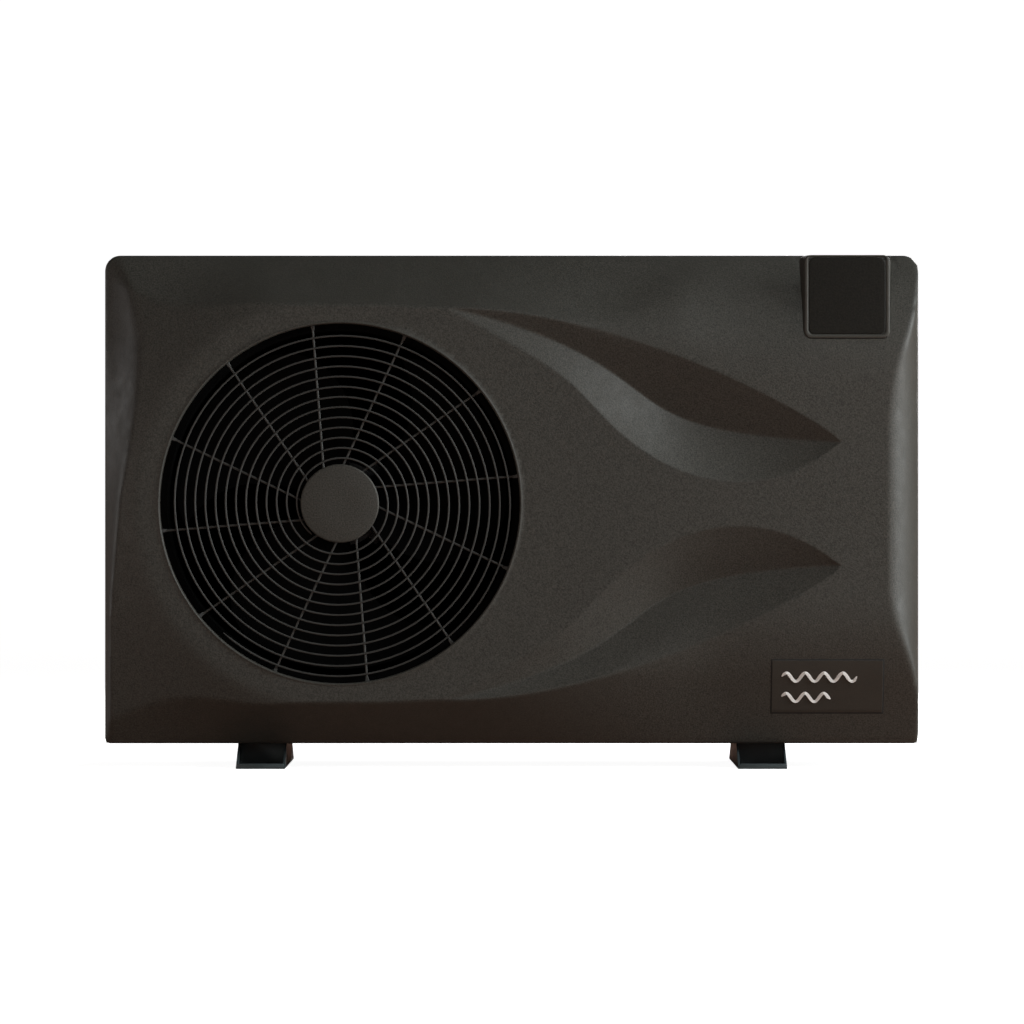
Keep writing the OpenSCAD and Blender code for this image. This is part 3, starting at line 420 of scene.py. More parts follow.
def rim_round(x, z):
    e = np.clip(outline_distance(x, z), 0, RIM_R)
    return RIM_R - np.sqrt(np.maximum(RIM_R ** 2 - (RIM_R - e) ** 2, 0))


# The display housing: drafted sides, so it is wider where it meets the panel
house_lo, house_hi = box_mm("display_housing")
HOUSE_X = (house_lo[0] + house_hi[0]) / 2
HOUSE_HALF = (house_hi[0] - house_lo[0]) / 2
HOUSE_Z0 = house_lo[2]
HOUSE_FRONT, HOUSE_BACK = house_lo[1], house_hi[1]
DRAFT = 4.5


def house_half(depth):
    """Half the housing's width at a depth behind the foremost plane."""
    return HOUSE_HALF + DRAFT * np.clip(depth / RIM_DEPTH, 0, 1)


def house_gap(x, z):
    """Signed distance outside the display opening, drawn to the width of the housing there."""
    half = house_half(relief(np.full_like(z, HOUSE_X), z)) + 0.6
    r = 8.6
    qx = np.abs(x - HOUSE_X) - (half - r)
    mid, tall = (HOUSE_Z0 - 0.6 + Z_TOP - 2.6) / 2, (Z_TOP - 2.6 - HOUSE_Z0 + 0.6) / 2
    qz = np.abs(z - mid) - (tall - r)
    return np.hypot(np.maximum(qx, 0), np.maximum(qz, 0)) + np.minimum(np.maximum(qx, qz), 0) - r


BEAD_R = OPEN_R + 3.4
# The bead and sleeve round the opening: outer radius and depth, inner radius and depth
BEAD = ((222.7, -0.5, 223.2, 2.2), (221.9, -0.7, 222.9, 2.3), (221.0, -0.4, 222.6, 2.6),
        (220.3, 0.5, 222.4, 3.2), (OPEN_R, 2.0, 222.25, 4.0), (OPEN_R, 9.0, 222.2, 10.0),
        (OPEN_R, 24.0, 222.2, 24.0))


def fan_gap(x, z):
    return np.hypot(x - FAN[0], z - FAN[2]) - BEAD_R


def stations(a, b, n, near=(0.9, 2.2, 4.0), start=None, end=None):
    """n steps from a to b (arrays), with some close to both ends."""
    h = b - a
    start, end = start or near, end or near
    lead = [np.minimum(d, 0.3 * h * (k + 1) / len(start)) for k, d in enumerate(start)]
    tail = [np.minimum(d, 0.3 * h * (k + 1) / len(end)) for k, d in enumerate(end)][::-1]
    first, last = lead[-1], tail[0]
    m = n - len(start) - len(end)
    middle = [first + (h - last - first) * k / m for k in range(1, m)]
    offs = [np.zeros_like(h)] + lead + middle + [h - d for d in tail]
    return [a + o for o in offs]


RIM_STEPS = (0.25, 0.9, 1.8, 3.0)


def panel_columns():
    """Places of the grid's columns, closer together where the relief turns quickly."""
    rim = np.array((0.0,) + RIM_STEPS)
    return np.concatenate([
        -HALF_W + rim, np.arange(-494, -440, 3.0), np.arange(-440, -92, 5.0), np.arange(-92, -60, 3.0),
        np.arange(-60, 392, 4.3), np.arange(392, 410, 2.2), np.arange(410, 440, 4.0),
        np.arange(440, 496, 3.0), HALF_W - rim[::-1]])


def panel_rows(x):
    """Heights of the grid's rows at each column, which follow the folds and the leaf edges."""
    gap = 3 + 0.12 * np.maximum(LEAF_X0 - x, 0) + 0.25 * np.maximum(x - LEAF_X1, 0)
    gap = np.minimum(gap, 14)
    near_tip = gap * smooth(-140, LEAF_X0, x)
    left = x < LEAF_X0
    v = edge(VALLEY, x) + LEAF_Z
    up_o = np.where(left, crease_top(x) + near_tip, np.maximum(edge(OUTER, x) + LEAF_Z, v + gap))
    up_v = np.where(left, up_o - gap, v)
    up_i = np.where(left, up_v - gap, np.minimum(edge(INNER, x) + LEAF_Z, v - gap))
    v = LEAF_Z - edge(VALLEY, x)
    lo_o = np.where(left, crease_low(x) - near_tip, np.minimum(LEAF_Z - edge(OUTER, x), v - gap))
    lo_v = np.where(left, lo_o + gap, v)
    lo_i = np.where(left, lo_v + gap, np.maximum(LEAF_Z - edge(INNER, x), v + gap))
    low, high = np.full_like(x, Z_LOW), np.full_like(x, Z_TOP)
    rows = []
    for a, b, n, s, e in ((low, lo_o, 28, RIM_STEPS, None), (lo_o, lo_v, 14, None, None),
                          (lo_v, lo_i, 14, None, None), (lo_i, up_i, 76, None, None),
                          (up_i, up_v, 14, None, None), (up_v, up_o, 14, None, None),
                          (up_o, high, 30, None, RIM_STEPS)):
        rows += stations(a, b, n, start=s, end=e)
    rows.append(high)
    return np.array(rows)


def snap(x, z, gap):
    """Move the nearer end of each grid edge that crosses gap = 0 onto it; returns the signs."""
    s = gap(x, z)
    mark = np.zeros(s.shape, bool)
    for ax in (0, 1):
        a, b = (s[:-1], s[1:]) if ax == 0 else (s[:, :-1], s[:, 1:])
        cross = a * b < 0
        first = cross & (np.abs(a) <= np.abs(b))
        second = cross & ~first
        if ax == 0:
            mark[:-1] |= first
            mark[1:] |= second
        else:
            mark[:, :-1] |= first
            mark[:, 1:] |= second
    px, pz = x[mark], z[mark]
    for _ in range(6):
        g = gap(px, pz)
        gx = (gap(px + 0.01, pz) - gap(px - 0.01, pz)) / 0.02
        gz = (gap(px, pz + 0.01) - gap(px, pz - 0.01)) / 0.02
        k = g / np.maximum(gx * gx + gz * gz, 1e-6)
        px, pz = px - k * gx, pz - k * gz
    x[mark], z[mark] = px, pz
    sign = np.sign(s)
    sign[mark] = 0
    return sign


def cut_faces(faces, sign):
    """Keep what lies outside: whole quads, or the outer half of one that the edge crosses."""
    kept = []
    for f in faces:
        s = [sign[i] for i in f]
        if min(s) >= 0:
            if max(s) > 0:
                kept.append(f)
        elif max(s) > 0 and len(f) == 4:
            k = s.index(max(s))
            kept.append((f[k - 1], f[k], f[(k + 1) % 4]))
    return kept


def open_edges(faces):
    """Edges with a face on one side only, as that face runs along them."""
    directed = {(f[i], f[(i + 1) % len(f)]): True for f in faces for i in range(len(f))}
    return [e for e in directed if (e[1], e[0]) not in directed]


def vertex_normals(p, faces):
    n = np.zeros_like(p)
    for size in (3, 4):
        fs = np.array([f for f in faces if len(f) == size])
        if len(fs) == 0:
            continue
        d = np.cross(p[fs[:, 2]] - p[fs[:, 0]], p[fs[:, -1]] - p[fs[:, 1]]) if size == 4 else np.cross(
            p[fs[:, 1]] - p[fs[:, 0]], p[fs[:, 2]] - p[fs[:, 0]])
        d /= np.maximum(np.linalg.norm(d, axis=1), 1e-9)[:, None]
        for k in range(size):
            np.add.at(n, fs[:, k], d)
    return n / np.maximum(np.linalg.norm(n, axis=1), 1e-9)[:, None]


def make_front_panel():
    """One closed moulded shell: the relief, the skirt behind it and the sleeve in the fan opening."""
    cols = panel_columns()
    rows = panel_rows(cols)                      # (row, column)
    z = rows.copy()
    x = np.broadcast_to(cols, z.shape).copy()
    r = np.where(z > MID_Z, CORNER_TOP, CORNER_LOW)
    into = np.maximum(np.abs(z - MID_Z) - ((Z_TOP - Z_LOW) / 2 - r), 0)
    shrink = r - np.sqrt(np.maximum(r * r - into * into, 0))
    x *= (HALF_W - shrink) / HALF_W
    fan_sign = snap(x, z, fan_gap)
    house_sign = snap(x, z, house_gap)
    nr, nc = z.shape
    idx = np.arange(nr * nc).reshape(nr, nc)
    quads = np.stack([idx[:-1, :-1], idx[:-1, 1:], idx[1:, 1:], idx[1:, :-1]], -1).reshape(-1, 4)
    faces = [tuple(map(int, q)) for q in quads]
    faces = cut_faces(faces, fan_sign.ravel())
    faces = cut_faces(faces, house_sign.ravel())
    depth = relief(x, z)
    # Level with the rim where the display housing meets the top edge
    strip = (np.abs(x - HOUSE_X) < HOUSE_HALF + DRAFT + 4) & (z > Z_TOP - 3.5)
    depth = np.where(strip, np.maximum(depth, RIM_DEPTH - 0.5), depth)
    y = FACE_Y + depth + rim_round(x, z)
    p = np.stack([x.ravel(), y.ravel(), z.ravel()], 1)
    count = len(p)
    fan_edges, outer_edges = [], []
    for a, b in open_edges(faces):
        m = (p[a] + p[b]) / 2
        if abs(fan_gap(m[0], m[2])) < 1.0:
            fan_edges.append((a, b))
        elif outline_distance(m[0], m[2]) < 1.0:
            outer_edges.append((a, b))
    pts = [p]
    inner_at = {}

    def grow(edges, place, inner=None):
        """A new ring of points from the edges' own, placed by place(points)."""
        nonlocal count
        ids = sorted({i for e in edges for i in e})
        every = np.concatenate(pts)
        new = place(every[ids])
        pts.append(new)
        to = {i: count + k for k, i in enumerate(ids)}
        if inner is not None:
            for k, q in enumerate(inner(every[ids])):
                inner_at[count + k] = q
        count += len(ids)
        for a, b in edges:
            faces.append((b, a, to[a], to[b]))
        return [(to[a], to[b]) for a, b in edges]

    edges = outer_edges
    for back in (SKIRT_START, SKIRT_Y):
        edges = grow(edges, lambda q, back=back: np.stack([q[:, 0], np.full(len(q), back), q[:, 2]], 1))

    def at_radius(radius, yy):
        def place(q):
            a = np.arctan2(q[:, 2] - FAN[2], q[:, 0] - FAN[0])
            x, z = FAN[0] + radius * np.cos(a), FAN[2] + radius * np.sin(a)
            return np.stack([x, np.full(len(q), yy), z], 1)
        return place

    edges = fan_edges
    for ro, yo, ri, yi in BEAD:
        edges = grow(edges, at_radius(ro, FACE_Y + yo), at_radius(ri, FACE_Y + yi))
    p = np.concatenate(pts)
    # Close the shell on its inside
    normals = vertex_normals(p, faces)
    inside = p - normals * WALL
    for i, q in inner_at.items():
        inside[i] = q
    used = sorted({i for f in faces for i in f})
    n = len(p)
    every = np.concatenate([p, inside])
    shell = list(faces) + [tuple(i + n for i in f[::-1]) for f in faces]
    shell += [(b, a, a + n, b + n) for a, b in open_edges(faces)]
    keep = np.array(used + [i + n for i in used])
    remap = np.full(2 * n, -1)
    remap[keep] = np.arange(len(keep))
    shell = [tuple(int(remap[i]) for i in f) for f in shell]
    ob = add_mesh("front_panel_moulding", every[keep], shell, sharp=48.0)
    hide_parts("front_panel")
    finish_piece(ob, "casing")
    slope = np.hypot(normals[:, 0], normals[:, 2])
    weight = 1 - 0.6 * smooth(0.5, 0.75, slope)
    att = ob.data.attributes.new("grain", "FLOAT", "POINT")
    att.data.foreach_set("value", np.tile(weight, 2)[keep].astype(np.float32))
    return ob


make_front_panel()

# ---- Fan guard ----

wire_lo, wire_hi = box_mm("grille_spiral")
WIRE_Y, WIRE_R = (wire_lo[1] + wire_hi[1]) / 2, 1.25
WIRE_PITCH, WIRE_TURNS, WIRE_IN = 12.46, 13, 50.8
turn = np.linspace(0, WIRE_TURNS, WIRE_TURNS * 96 + 1)
angle = math.radians(228) - 2 * math.pi * turn
radius = WIRE_IN + WIRE_PITCH * turn
spiral = np.stack([FAN[0] + radius * np.cos(angle), np.full(len(turn), WIRE_Y),
                   FAN[2] + radius * np.sin(angle)], 1)
ends = np.full(len(turn), WIRE_R)
ends[[0, -1]] = 0.5
ob = add_mesh("guard_spiral", *sweep(spiral, ends, 10))
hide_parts("grille_spiral")
finish_piece(ob, "guard_wire")

SPOKE_Y, SPOKE_R = -200.2, 1.5
SPOKE_IN, SPOKE_OUT, SPOKE_OFFSET = 36.5, 218.5, 16.6
# Stations of a spoke's foot: distance from the axis, half width, half depth
SPOKE_FOOT = ((213.6, 1.5, 1.5), (214.2, 1.8, 1.9), (217.5, 2.2, 2.6), (219.8, 2.7, 3.2))
OCTAGON = ((-1, -0.7), (-0.7, -1), (0.7, -1), (1, -0.7), (1, 0.7), (0.7, 1), (-0.7, 1), (-1, 0.7))
parts = []
for k in range(12):
    a = math.radians(8.8 + 30 * k)
    inner = a + math.asin(SPOKE_OFFSET / SPOKE_IN) - math.asin(SPOKE_OFFSET / SPOKE_OUT)
    start = np.array([FAN[0] + SPOKE_IN * math.cos(inner), SPOKE_Y, FAN[2] + SPOKE_IN * math.sin(inner)])
    end = np.array([FAN[0] + SPOKE_OUT * math.cos(a), SPOKE_Y, FAN[2] + SPOKE_OUT * math.sin(a)])
    t = np.concatenate([[0, 0.003], np.linspace(0.02, 0.98, 24), [0.997, 1]])[:, None]
    rad = np.full(len(t), SPOKE_R)
    rad[[0, -1]] = 0.7
    parts.append(sweep(start + (end - start) * t, rad, 10))
    # A moulded foot at the rim that holds the end of the wire
    d = np.array([math.cos(a), 0, math.sin(a)])
    s = np.array([-math.sin(a), 0, math.cos(a)])
    base = np.array([FAN[0], 0, FAN[2]])
    rings = []
    for along, half_side, half_y in SPOKE_FOOT:
        rings.append([base + d * along + s * u * half_side + np.array([0, SPOKE_Y + 0.8 + v * half_y, 0])
                      for u, v in OCTAGON])
    parts.append(loft(rings))
ob = add_mesh("guard_spokes", *join(parts))
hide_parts("grille_spokes")
finish_piece(ob, "guard_wire")

front, back = cap_lo[1], cap_hi[1]
ob = add_mesh("guard_cap", *lathe_y([
    (0, front), (20, front), (45.6, front), (46.8, front + 0.25), (47.6, front + 0.8), (48, front + 1.6),
    (48, front + 2.4), (47.4, front + 3), (36, front + 3), (35.6, front + 4), (35.2, back - 0.8),
    (34.4, back), (0, back)], FAN[0], FAN[2], 128))
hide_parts("grille_cap")
finish_piece(ob, "casing")
att = ob.data.attributes.new("grain", "FLOAT", "POINT")
att.data.foreach_set("value", np.ones(len(ob.data.vertices), np.float32))

# ---- Display housing ----


def house_ring(y, inset, r):
    half = house_half(np.array((y - HOUSE_FRONT) * RIM_DEPTH / (HOUSE_BACK - HOUSE_FRONT))) - inset
    top = Z_TOP - 1.4 * (HOUSE_BACK - y) / (HOUSE_BACK - HOUSE_FRONT)
    return rounded_rect(HOUSE_X - half, HOUSE_Z0 + inset, HOUSE_X + half, top - inset, r, y)


PLATE_Y = -200.0
rings = [house_ring(HOUSE_BACK, 0, 8.5), house_ring(HOUSE_FRONT + 1.4, 0, 8),
         house_ring(HOUSE_FRONT + 0.5, 0.3, 7.8), house_ring(HOUSE_FRONT, 1.0, 7.2)]
front_pocket = (HOUSE_X - HOUSE_HALF + 4.5, HOUSE_Z0 + 4.5, HOUSE_X + HOUSE_HALF - 4.5, Z_TOP - 3.5)
x0, z0, x1, z1 = front_pocket
for y, grow_by, r in ((HOUSE_FRONT, 0.8, 6.6), (HOUSE_FRONT + 0.3, 0.3, 6.2), (HOUSE_FRONT + 1.0, 0.0, 6.0),
                      (PLATE_Y, 0.0, 6.0)):
    rings.append(rounded_rect(x0 - grow_by, z0 - grow_by, x1 + grow_by, z1 + grow_by, r, y, top=3.0))
verts, faces = loft(rings, cap_first=True, cap_last=False)
faces = [f[::-1] for f in faces]
n_ring = len(rings[0])
loops = [rings[-1]]
for node in ("power_key", "mode_key", "up_key", "down_key"):
    lo, hi = box_mm(node)
    key_floor = hi[1] + 1.3
    cx, cz, r = (lo[0] + hi[0]) / 2, (lo[2] + hi[2]) / 2, (hi[0] - lo[0]) / 2 + 0.3
    loops.append([(cx + r * math.cos(a), PLATE_Y, cz + r * math.sin(a))
                  for a in np.linspace(0, 2 * math.pi, 33)[:-1]])
lo, hi = box_mm("display_screen")
loops.append(rounded_rect(lo[0] - 0.3, lo[2] - 0.3, hi[0] + 0.3, hi[2] + 0.3, 3.2, PLATE_Y))
tris = tessellate_polygon([[Vector((p[0], p[2], 0)) for p in loop] for loop in loops])
first = len(verts) - n_ring
at = list(range(first, first + n_ring))
for loop in loops[1:]:
    base = len(verts)
    verts += loop
    at += range(base, base + len(loop))
    floor_y = PLATE_Y + 1.5 if loop is loops[-1] else key_floor
    under = len(verts)
    verts += [(p[0], floor_y, p[2]) for p in loop]
    faces += [(f[1], f[0], f[3], f[2]) for f in ring_faces(base, under, len(loop))]
    faces.append(tuple(range(under, under + len(loop))))
for t in tris:
    a, b, c = (np.array(verts[at[i]]) for i in t)
    f = tuple(at[i] for i in t)
    faces.append(f if np.cross(b - a, c - a)[1] < 0 else f[::-1])
ob = add_mesh("display_frame", verts, faces, sharp=40.0)
# The frame and its flap throw no lamp shadow on the panel
ob.visible_shadow = False
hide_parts("display_housing")
finish_piece(ob, "casing")

# ---- Flap: a thin cover with round corners, rolled round its pin at the top ----

flap_lo, flap_hi = box_mm("display_flap")
pin_lo, pin_hi = box_mm("hinge_pin")
PIN_Y, PIN_Z, ROLL_R = (pin_lo[1] + pin_hi[1]) / 2, (pin_lo[2] + pin_hi[2]) / 2, 2.15


def flap_ring(inset, y):
    ring = rounded_rect(flap_lo[0] + inset, flap_lo[2] + inset, flap_hi[0] - inset, flap_hi[2] - inset,
                        7.0 - inset, y, top=9.0 - inset)
    limit = PIN_Z + math.sqrt(max(ROLL_R ** 2 - (y - PIN_Y) ** 2, 0.0))
    return [(x, yy, min(z, limit)) for x, yy, z in ring]


ob = add_mesh("flap_cover", *join([loft([
    flap_ring(inset, flap_lo[1] + back) for inset, back in (
        (2.2, 0.2), (1.0, 0.24), (0.45, 0.38), (0.12, 0.7), (0.0, 1.2), (0.0, 2.2), (0.0, 3.0), (0.3, 3.4),
        (2.0, 3.4), (2.4, 2.6))])]), body="flap", sharp=30.0)
ob.visible_shadow = False
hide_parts("display_flap")
finish_piece(ob, "flap")

# ---- Name plate with a generic wave mark, lying on the panel ----

plate_lo, plate_hi = box_mm("name_plate")
PLATE_X = (plate_lo[0] + plate_hi[0]) / 2
PLATE_Z = (plate_lo[2] + plate_hi[2]) / 2
PLATE_W, PLATE_H = 139.0, plate_hi[2] - plate_lo[2] - 0.8


def on_panel(u, w, out):
    """A point at (u, w) from the plate's middle in the front view, out in front of the panel."""
    x, z = PLATE_X + u, PLATE_Z + w
    ax, az = np.array([float(x)]), np.array([float(z)])
    return (x, FACE_Y + float(relief(ax, az)[0]) - out, z)


def patch(half_w, half_h, levels, nx=30, nz=16):
    """A thin pad that follows the panel: levels are (inset, height in front of the panel)."""
    xs, zs = np.linspace(-half_w, half_w, nx + 1), np.linspace(-half_h, half_h, nz + 1)
    boundary = ([(u, -half_h) for u in xs[:-1]] + [(half_w, w) for w in zs[:-1]]
                + [(u, half_h) for u in xs[:0:-1]] + [(-half_w, w) for w in zs[:0:-1]])
    verts, faces = [], []
    for inset, out in levels:
        for u, w in boundary:
            verts.append(on_panel(u * (1 - inset / half_w), w * (1 - inset / half_h), out))
    n = len(boundary)
    for k in range(len(levels) - 1):
        faces += ring_faces(k * n, (k + 1) * n, n)
    on_edge = {(round(u, 6), round(w, 6)): k for k, (u, w) in enumerate(boundary)}

    def sheet(ring_at, inset, out):
        """Vertex numbers of a full grid, whose border is the ring that starts at ring_at."""
        ids = np.zeros((nz + 1, nx + 1), int)
        for j, w in enumerate(zs):
            for i, u in enumerate(xs):
                key = (round(u, 6), round(w, 6))
                if key in on_edge:
                    ids[j, i] = ring_at + on_edge[key]
                else:
                    ids[j, i] = len(verts)
                    verts.append(on_panel(u * (1 - inset / half_w), w * (1 - inset / half_h), out))
        return ids

    front = sheet((len(levels) - 1) * n, *levels[-1])
    rear = sheet(0, *levels[0])
    for j in range(nz):
        for i in range(nx):
            faces.append((front[j, i], front[j, i + 1], front[j + 1, i + 1], front[j + 1, i]))
            faces.append((rear[j, i], rear[j + 1, i], rear[j + 1, i + 1], rear[j, i + 1]))
    return verts, faces


ob = add_mesh("name_plate_blank", *patch(PLATE_W / 2 - 1.7, PLATE_H / 2 - 1.7,
                                         [(0, -0.6), (0, 0.25), (0.3, 0.5)]))
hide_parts("name_plate")
finish_piece(ob, "plate")
# A black rim a little wider than the plate: painted shade of the groove the plate sits in
ob = add_mesh("name_plate_shade_rim", *patch(PLATE_W / 2, PLATE_H / 2, [(0, -0.8), (0, 0.1), (0.1, 0.15)]))
finish_piece(ob, "mount_rubber")

WAVE_START, WAVE_HEIGHT, WAVE_LENGTH, WAVE_HALF = -56, 5.2, 23.0, 2.7
WAVE_SECTION = ((-1, 0.3), (-1, -0.15), (-0.6, -0.35), (0.6, -0.35), (1, -0.15), (1, 0.3))
parts = []
for row, span in ((12.5, 46.0), (-12.5, 30.0)):
    u = np.linspace(WAVE_START, WAVE_START + 2 * span, 140)
    w = row + WAVE_HEIGHT * np.sin((u - WAVE_START) / WAVE_LENGTH * 2 * math.pi)
    line = np.array([on_panel(a, b, 0.5) for a, b in zip(u, w)])
    flat = []
    for k in range(len(line)):
        t = line[min(k + 1, len(line) - 1)] - line[max(k - 1, 0)]
        t /= np.linalg.norm(t)
        side = np.cross(t, np.array([0, -1.0, 0]))
        side /= np.linalg.norm(side)
        half = WAVE_HALF * min(1.0, 0.25 + 3.0 * min(k, len(line) - 1 - k) / 20)
        c = line[k]
        flat.append([c + side * half * u + (0, out, 0) for u, out in WAVE_SECTION])
    parts.append(loft(flat))
ob = add_mesh("name_plate_waves", *join(parts))
finish_piece(ob, "plate", WHITE_INK)

# ---- Fan rotor ----

rotor_lo, rotor_hi = box_mm("fan_blades")
HUB_Y0, HUB_Y1, HUB_R, BLADE_R, BORE = rotor_lo[1], rotor_hi[1], 45.0, 204.0, 6.4


def blade(turned, rows=22, cols=26):
    """A thin aerofoil that sweeps round the hub while it falls back, with rounded tip corners."""
    verts = [[], []]
    for i in range(rows + 1):
        for j in range(cols + 1):
            u, v = i / rows, j / cols
            tip = 1 - 0.10 * (1 - min(1.0, v / 0.22)) ** 2 - 0.06 * (1 - min(1.0, (1 - v) / 0.15)) ** 2
            r = HUB_R - 4 + (BLADE_R - HUB_R + 4) * u * (1 - (1 - tip) * u)
            a = math.radians(84 * (v - 0.5) + 26 * u * u + turned)
            y = HUB_Y0 + 4 + (HUB_Y1 - HUB_Y0 - 8) * v * (1 - 0.25 * u)
            thick = (0.45 + 1.25 * math.sin(math.pi * min(1.0, v * 0.8 + 0.12))) * (1 - 0.35 * u)
            camber = 4.0 * math.sin(math.pi * v) * (0.3 + 0.7 * u)
            for side in (0, 1):
                verts[side].append((FAN[0] + r * math.cos(a), y - camber + (2 * side - 1) * thick,
                                    FAN[2] + r * math.sin(a)))
    n = (rows + 1) * (cols + 1)
    faces = []
    for i in range(rows):
        for j in range(cols):
            a = i * (cols + 1) + j
            b = a + cols + 1
            faces += [(a, b, b + 1, a + 1), (n + a, n + a + 1, n + b + 1, n + b)]
    border = (list(range(cols)) + [i * (cols + 1) + cols for i in range(rows)]
              + [rows * (cols + 1) + j for j in range(cols, 0, -1)]
              + [i * (cols + 1) for i in range(rows, 0, -1)])
    for k, a in enumerate(border):
        b = border[(k + 1) % len(border)]
        faces.append((a, b, n + b, n + a))
    return verts[0] + verts[1], faces


hub = washer_y([(BORE, HUB_Y0), (30, HUB_Y0), (33, HUB_Y0 + 0.6), (41, HUB_Y0 + 2.2),
                (HUB_R - 1.2, HUB_Y0 + 3.4), (HUB_R, HUB_Y0 + 6), (HUB_R, HUB_Y1 - 1),
                (HUB_R - 1, HUB_Y1), (HUB_R - 3, HUB_Y1),
                (HUB_R - 3.6, HUB_Y1 - 1), (HUB_R - 4, HUB_Y0 + 9), (17, HUB_Y0 + 6), (16, HUB_Y1 - 1),
                (15, HUB_Y1), (BORE, HUB_Y1)], FAN[0], FAN[2])
ob = add_mesh("fan_rotor", *join([hub] + [blade(120 * k) for k in range(3)]), body="fan")
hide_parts("fan_blades")
finish_piece(ob, "shroud_black")

# ---- Evaporator as a stack of thin fins ----

fin_lo, fin_hi = box_mm("evaporator_fins")
FIN_T, FIN_PITCH, FIN_WAVE, COIL_T, BEND = 0.4, 2.6, 1.5, 25.0, 50.0


def fin(c, across, along):
    """One corrugated fin with its middle at c (x, y), across the air's way along the unit vector across."""
    steps = 8
    at = np.linspace(-1, 1, steps + 1)
    wave = FIN_WAVE * np.cos(2 * math.pi * at)
    line = [c + across * p * COIL_T / 2 + along * w for p, w in zip(at, wave)]
    outline = [q - along * FIN_T / 2 for q in line] + [q + along * FIN_T / 2 for q in line[::-1]]
    verts = [(q[0], q[1], z) for z in (fin_lo[2], fin_hi[2]) for q in outline]
    n = len(outline)
    faces = ring_faces(0, n, n)
    for k in range(steps):
        a, b = k, n - 1 - k
        faces += [(a, b, b - 1, a + 1), (n + a, n + a + 1, n + b - 1, n + b)]
    return verts, faces


fins = []
for x in np.arange(fin_lo[0] + BEND, fin_hi[0] - 2, FIN_PITCH):
    fins.append(fin(np.array([x, fin_hi[1] - COIL_T / 2]), np.array([0, 1.0]), np.array([-1.0, 0])))
for y in np.arange(fin_lo[1] + 2, fin_hi[1] - BEND, FIN_PITCH):
    fins.append(fin(np.array([fin_lo[0] + COIL_T / 2, y]), np.array([1.0, 0]), np.array([0, 1.0])))
middle = np.array([fin_lo[0] + BEND, fin_hi[1] - BEND])
for a in np.linspace(math.pi / 2, math.pi, 26)[1:-1]:
    out = np.array([math.cos(a), math.sin(a)])
    fins.append(fin(middle + out * (BEND - COIL_T / 2), out, np.array([-out[1], out[0]])))
ob = add_mesh("evaporator_fin_stack", *join(fins), sharp=30.0)
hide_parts("evaporator_fins")
finish_piece(ob, "fins")

# ---- Pressure gauge dial and glass ----

gauge_lo, gauge_hi = box_mm("gauge_case")
GAUGE_X, GAUGE_Z, GAUGE_R = (gauge_lo[0] + gauge_hi[0]) / 2, (gauge_lo[2] + gauge_hi[2]) / 2, 23.3
FLOOR_Y = box_mm("gauge_needle")[0][1] - 1.2
ob = add_mesh("gauge_dial", *join([washer_y([
    (1.6, FLOOR_Y), (GAUGE_R, FLOOR_Y), (GAUGE_R, FLOOR_Y + 0.5), (GAUGE_R - 0.6, FLOOR_Y + 0.7),
    (1.6, FLOOR_Y + 0.7)], GAUGE_X, GAUGE_Z, 64)]))
finish_piece(ob, "pipe_white")
ticks = []
for k in range(31):
    a = math.radians(225 - 270 * k / 30)
    long = k % 5 == 0
    r0, r1, half = 21.5 - (5.0 if long else 2.6), 21.5, 0.55 if long else 0.28
    d, side = np.array([-math.cos(a), 0, math.sin(a)]), np.array([math.sin(a), 0, math.cos(a)])
    base = np.array([GAUGE_X, FLOOR_Y + 0.6, GAUGE_Z])
    up = np.array([0, 0.35, 0])
    low = [base + d * r + side * half * s for r, s in ((r0, -1), (r1, -1), (r1, 1), (r0, 1))]
    ticks.append(([*low, *[q + up for q in low]],
                  [(3, 2, 1, 0), (4, 5, 6, 7), (0, 1, 5, 4), (1, 2, 6, 5), (2, 3, 7, 6), (3, 0, 4, 7)]))
ob = add_mesh("gauge_ticks", *join(ticks), sharp=30.0)
finish_piece(ob, "mount_rubber")
GLASS = bpy.data.materials.new("gauge_glass")
GLASS.use_nodes = True
glass = GLASS.node_tree.nodes["Principled BSDF"]
glass.inputs["Base Color"].default_value = (0.95, 0.97, 0.97, 1)
glass.inputs["Transmission Weight"].default_value = 1.0
glass.inputs["IOR"].default_value = 1.05
rough = GLASS.node_tree.nodes.new("ShaderNodeTexNoise")
rough.inputs["Scale"].default_value = 80.0
ranged = GLASS.node_tree.nodes.new("ShaderNodeMapRange")
ranged.inputs["To Min"].default_value = 0.01
ranged.inputs["To Max"].default_value = 0.06
GLASS.node_tree.links.new(rough.outputs["Fac"], ranged.inputs["Value"])
GLASS.node_tree.links.new(ranged.outputs["Result"], glass.inputs["Roughness"])
ob = add_mesh("gauge_lens", *join([lathe_y([
    (0, gauge_hi[1] - 4.2), (22.8, gauge_hi[1] - 4.2), (GAUGE_R, gauge_hi[1] - 3.8),
    (GAUGE_R, gauge_hi[1] - 2.8), (22.4, gauge_hi[1] - 2.2), (12, gauge_hi[1] - 1.6),
    (0, gauge_hi[1] - 1.4)], GAUGE_X, GAUGE_Z, 64)]))
finish_piece(ob, "screen", GLASS)

# ---- Casing screws with cross recesses, where the CAD screws are ----


def islands(node):
    """The lowest and highest corners of each separate solid in a node."""
    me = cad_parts[node].data
    p = np.array([v.co for v in me.vertices]) * 1000
    key = {}
    ids = [key.setdefault(tuple(np.round(q, 2)), len(key)) for q in p]
    parent = list(range(len(key)))

    def root(i):
        while parent[i] != i:
            i = parent[i]
        return i

    for f in me.polygons:
        for v in f.vertices[1:]:
            parent[root(ids[v])] = root(ids[f.vertices[0]])
    groups = {}
    for i, q in zip(ids, p):
        groups.setdefault(root(i), []).append(q)
    return [(np.min(g, 0), np.max(g, 0)) for g in groups.values()]


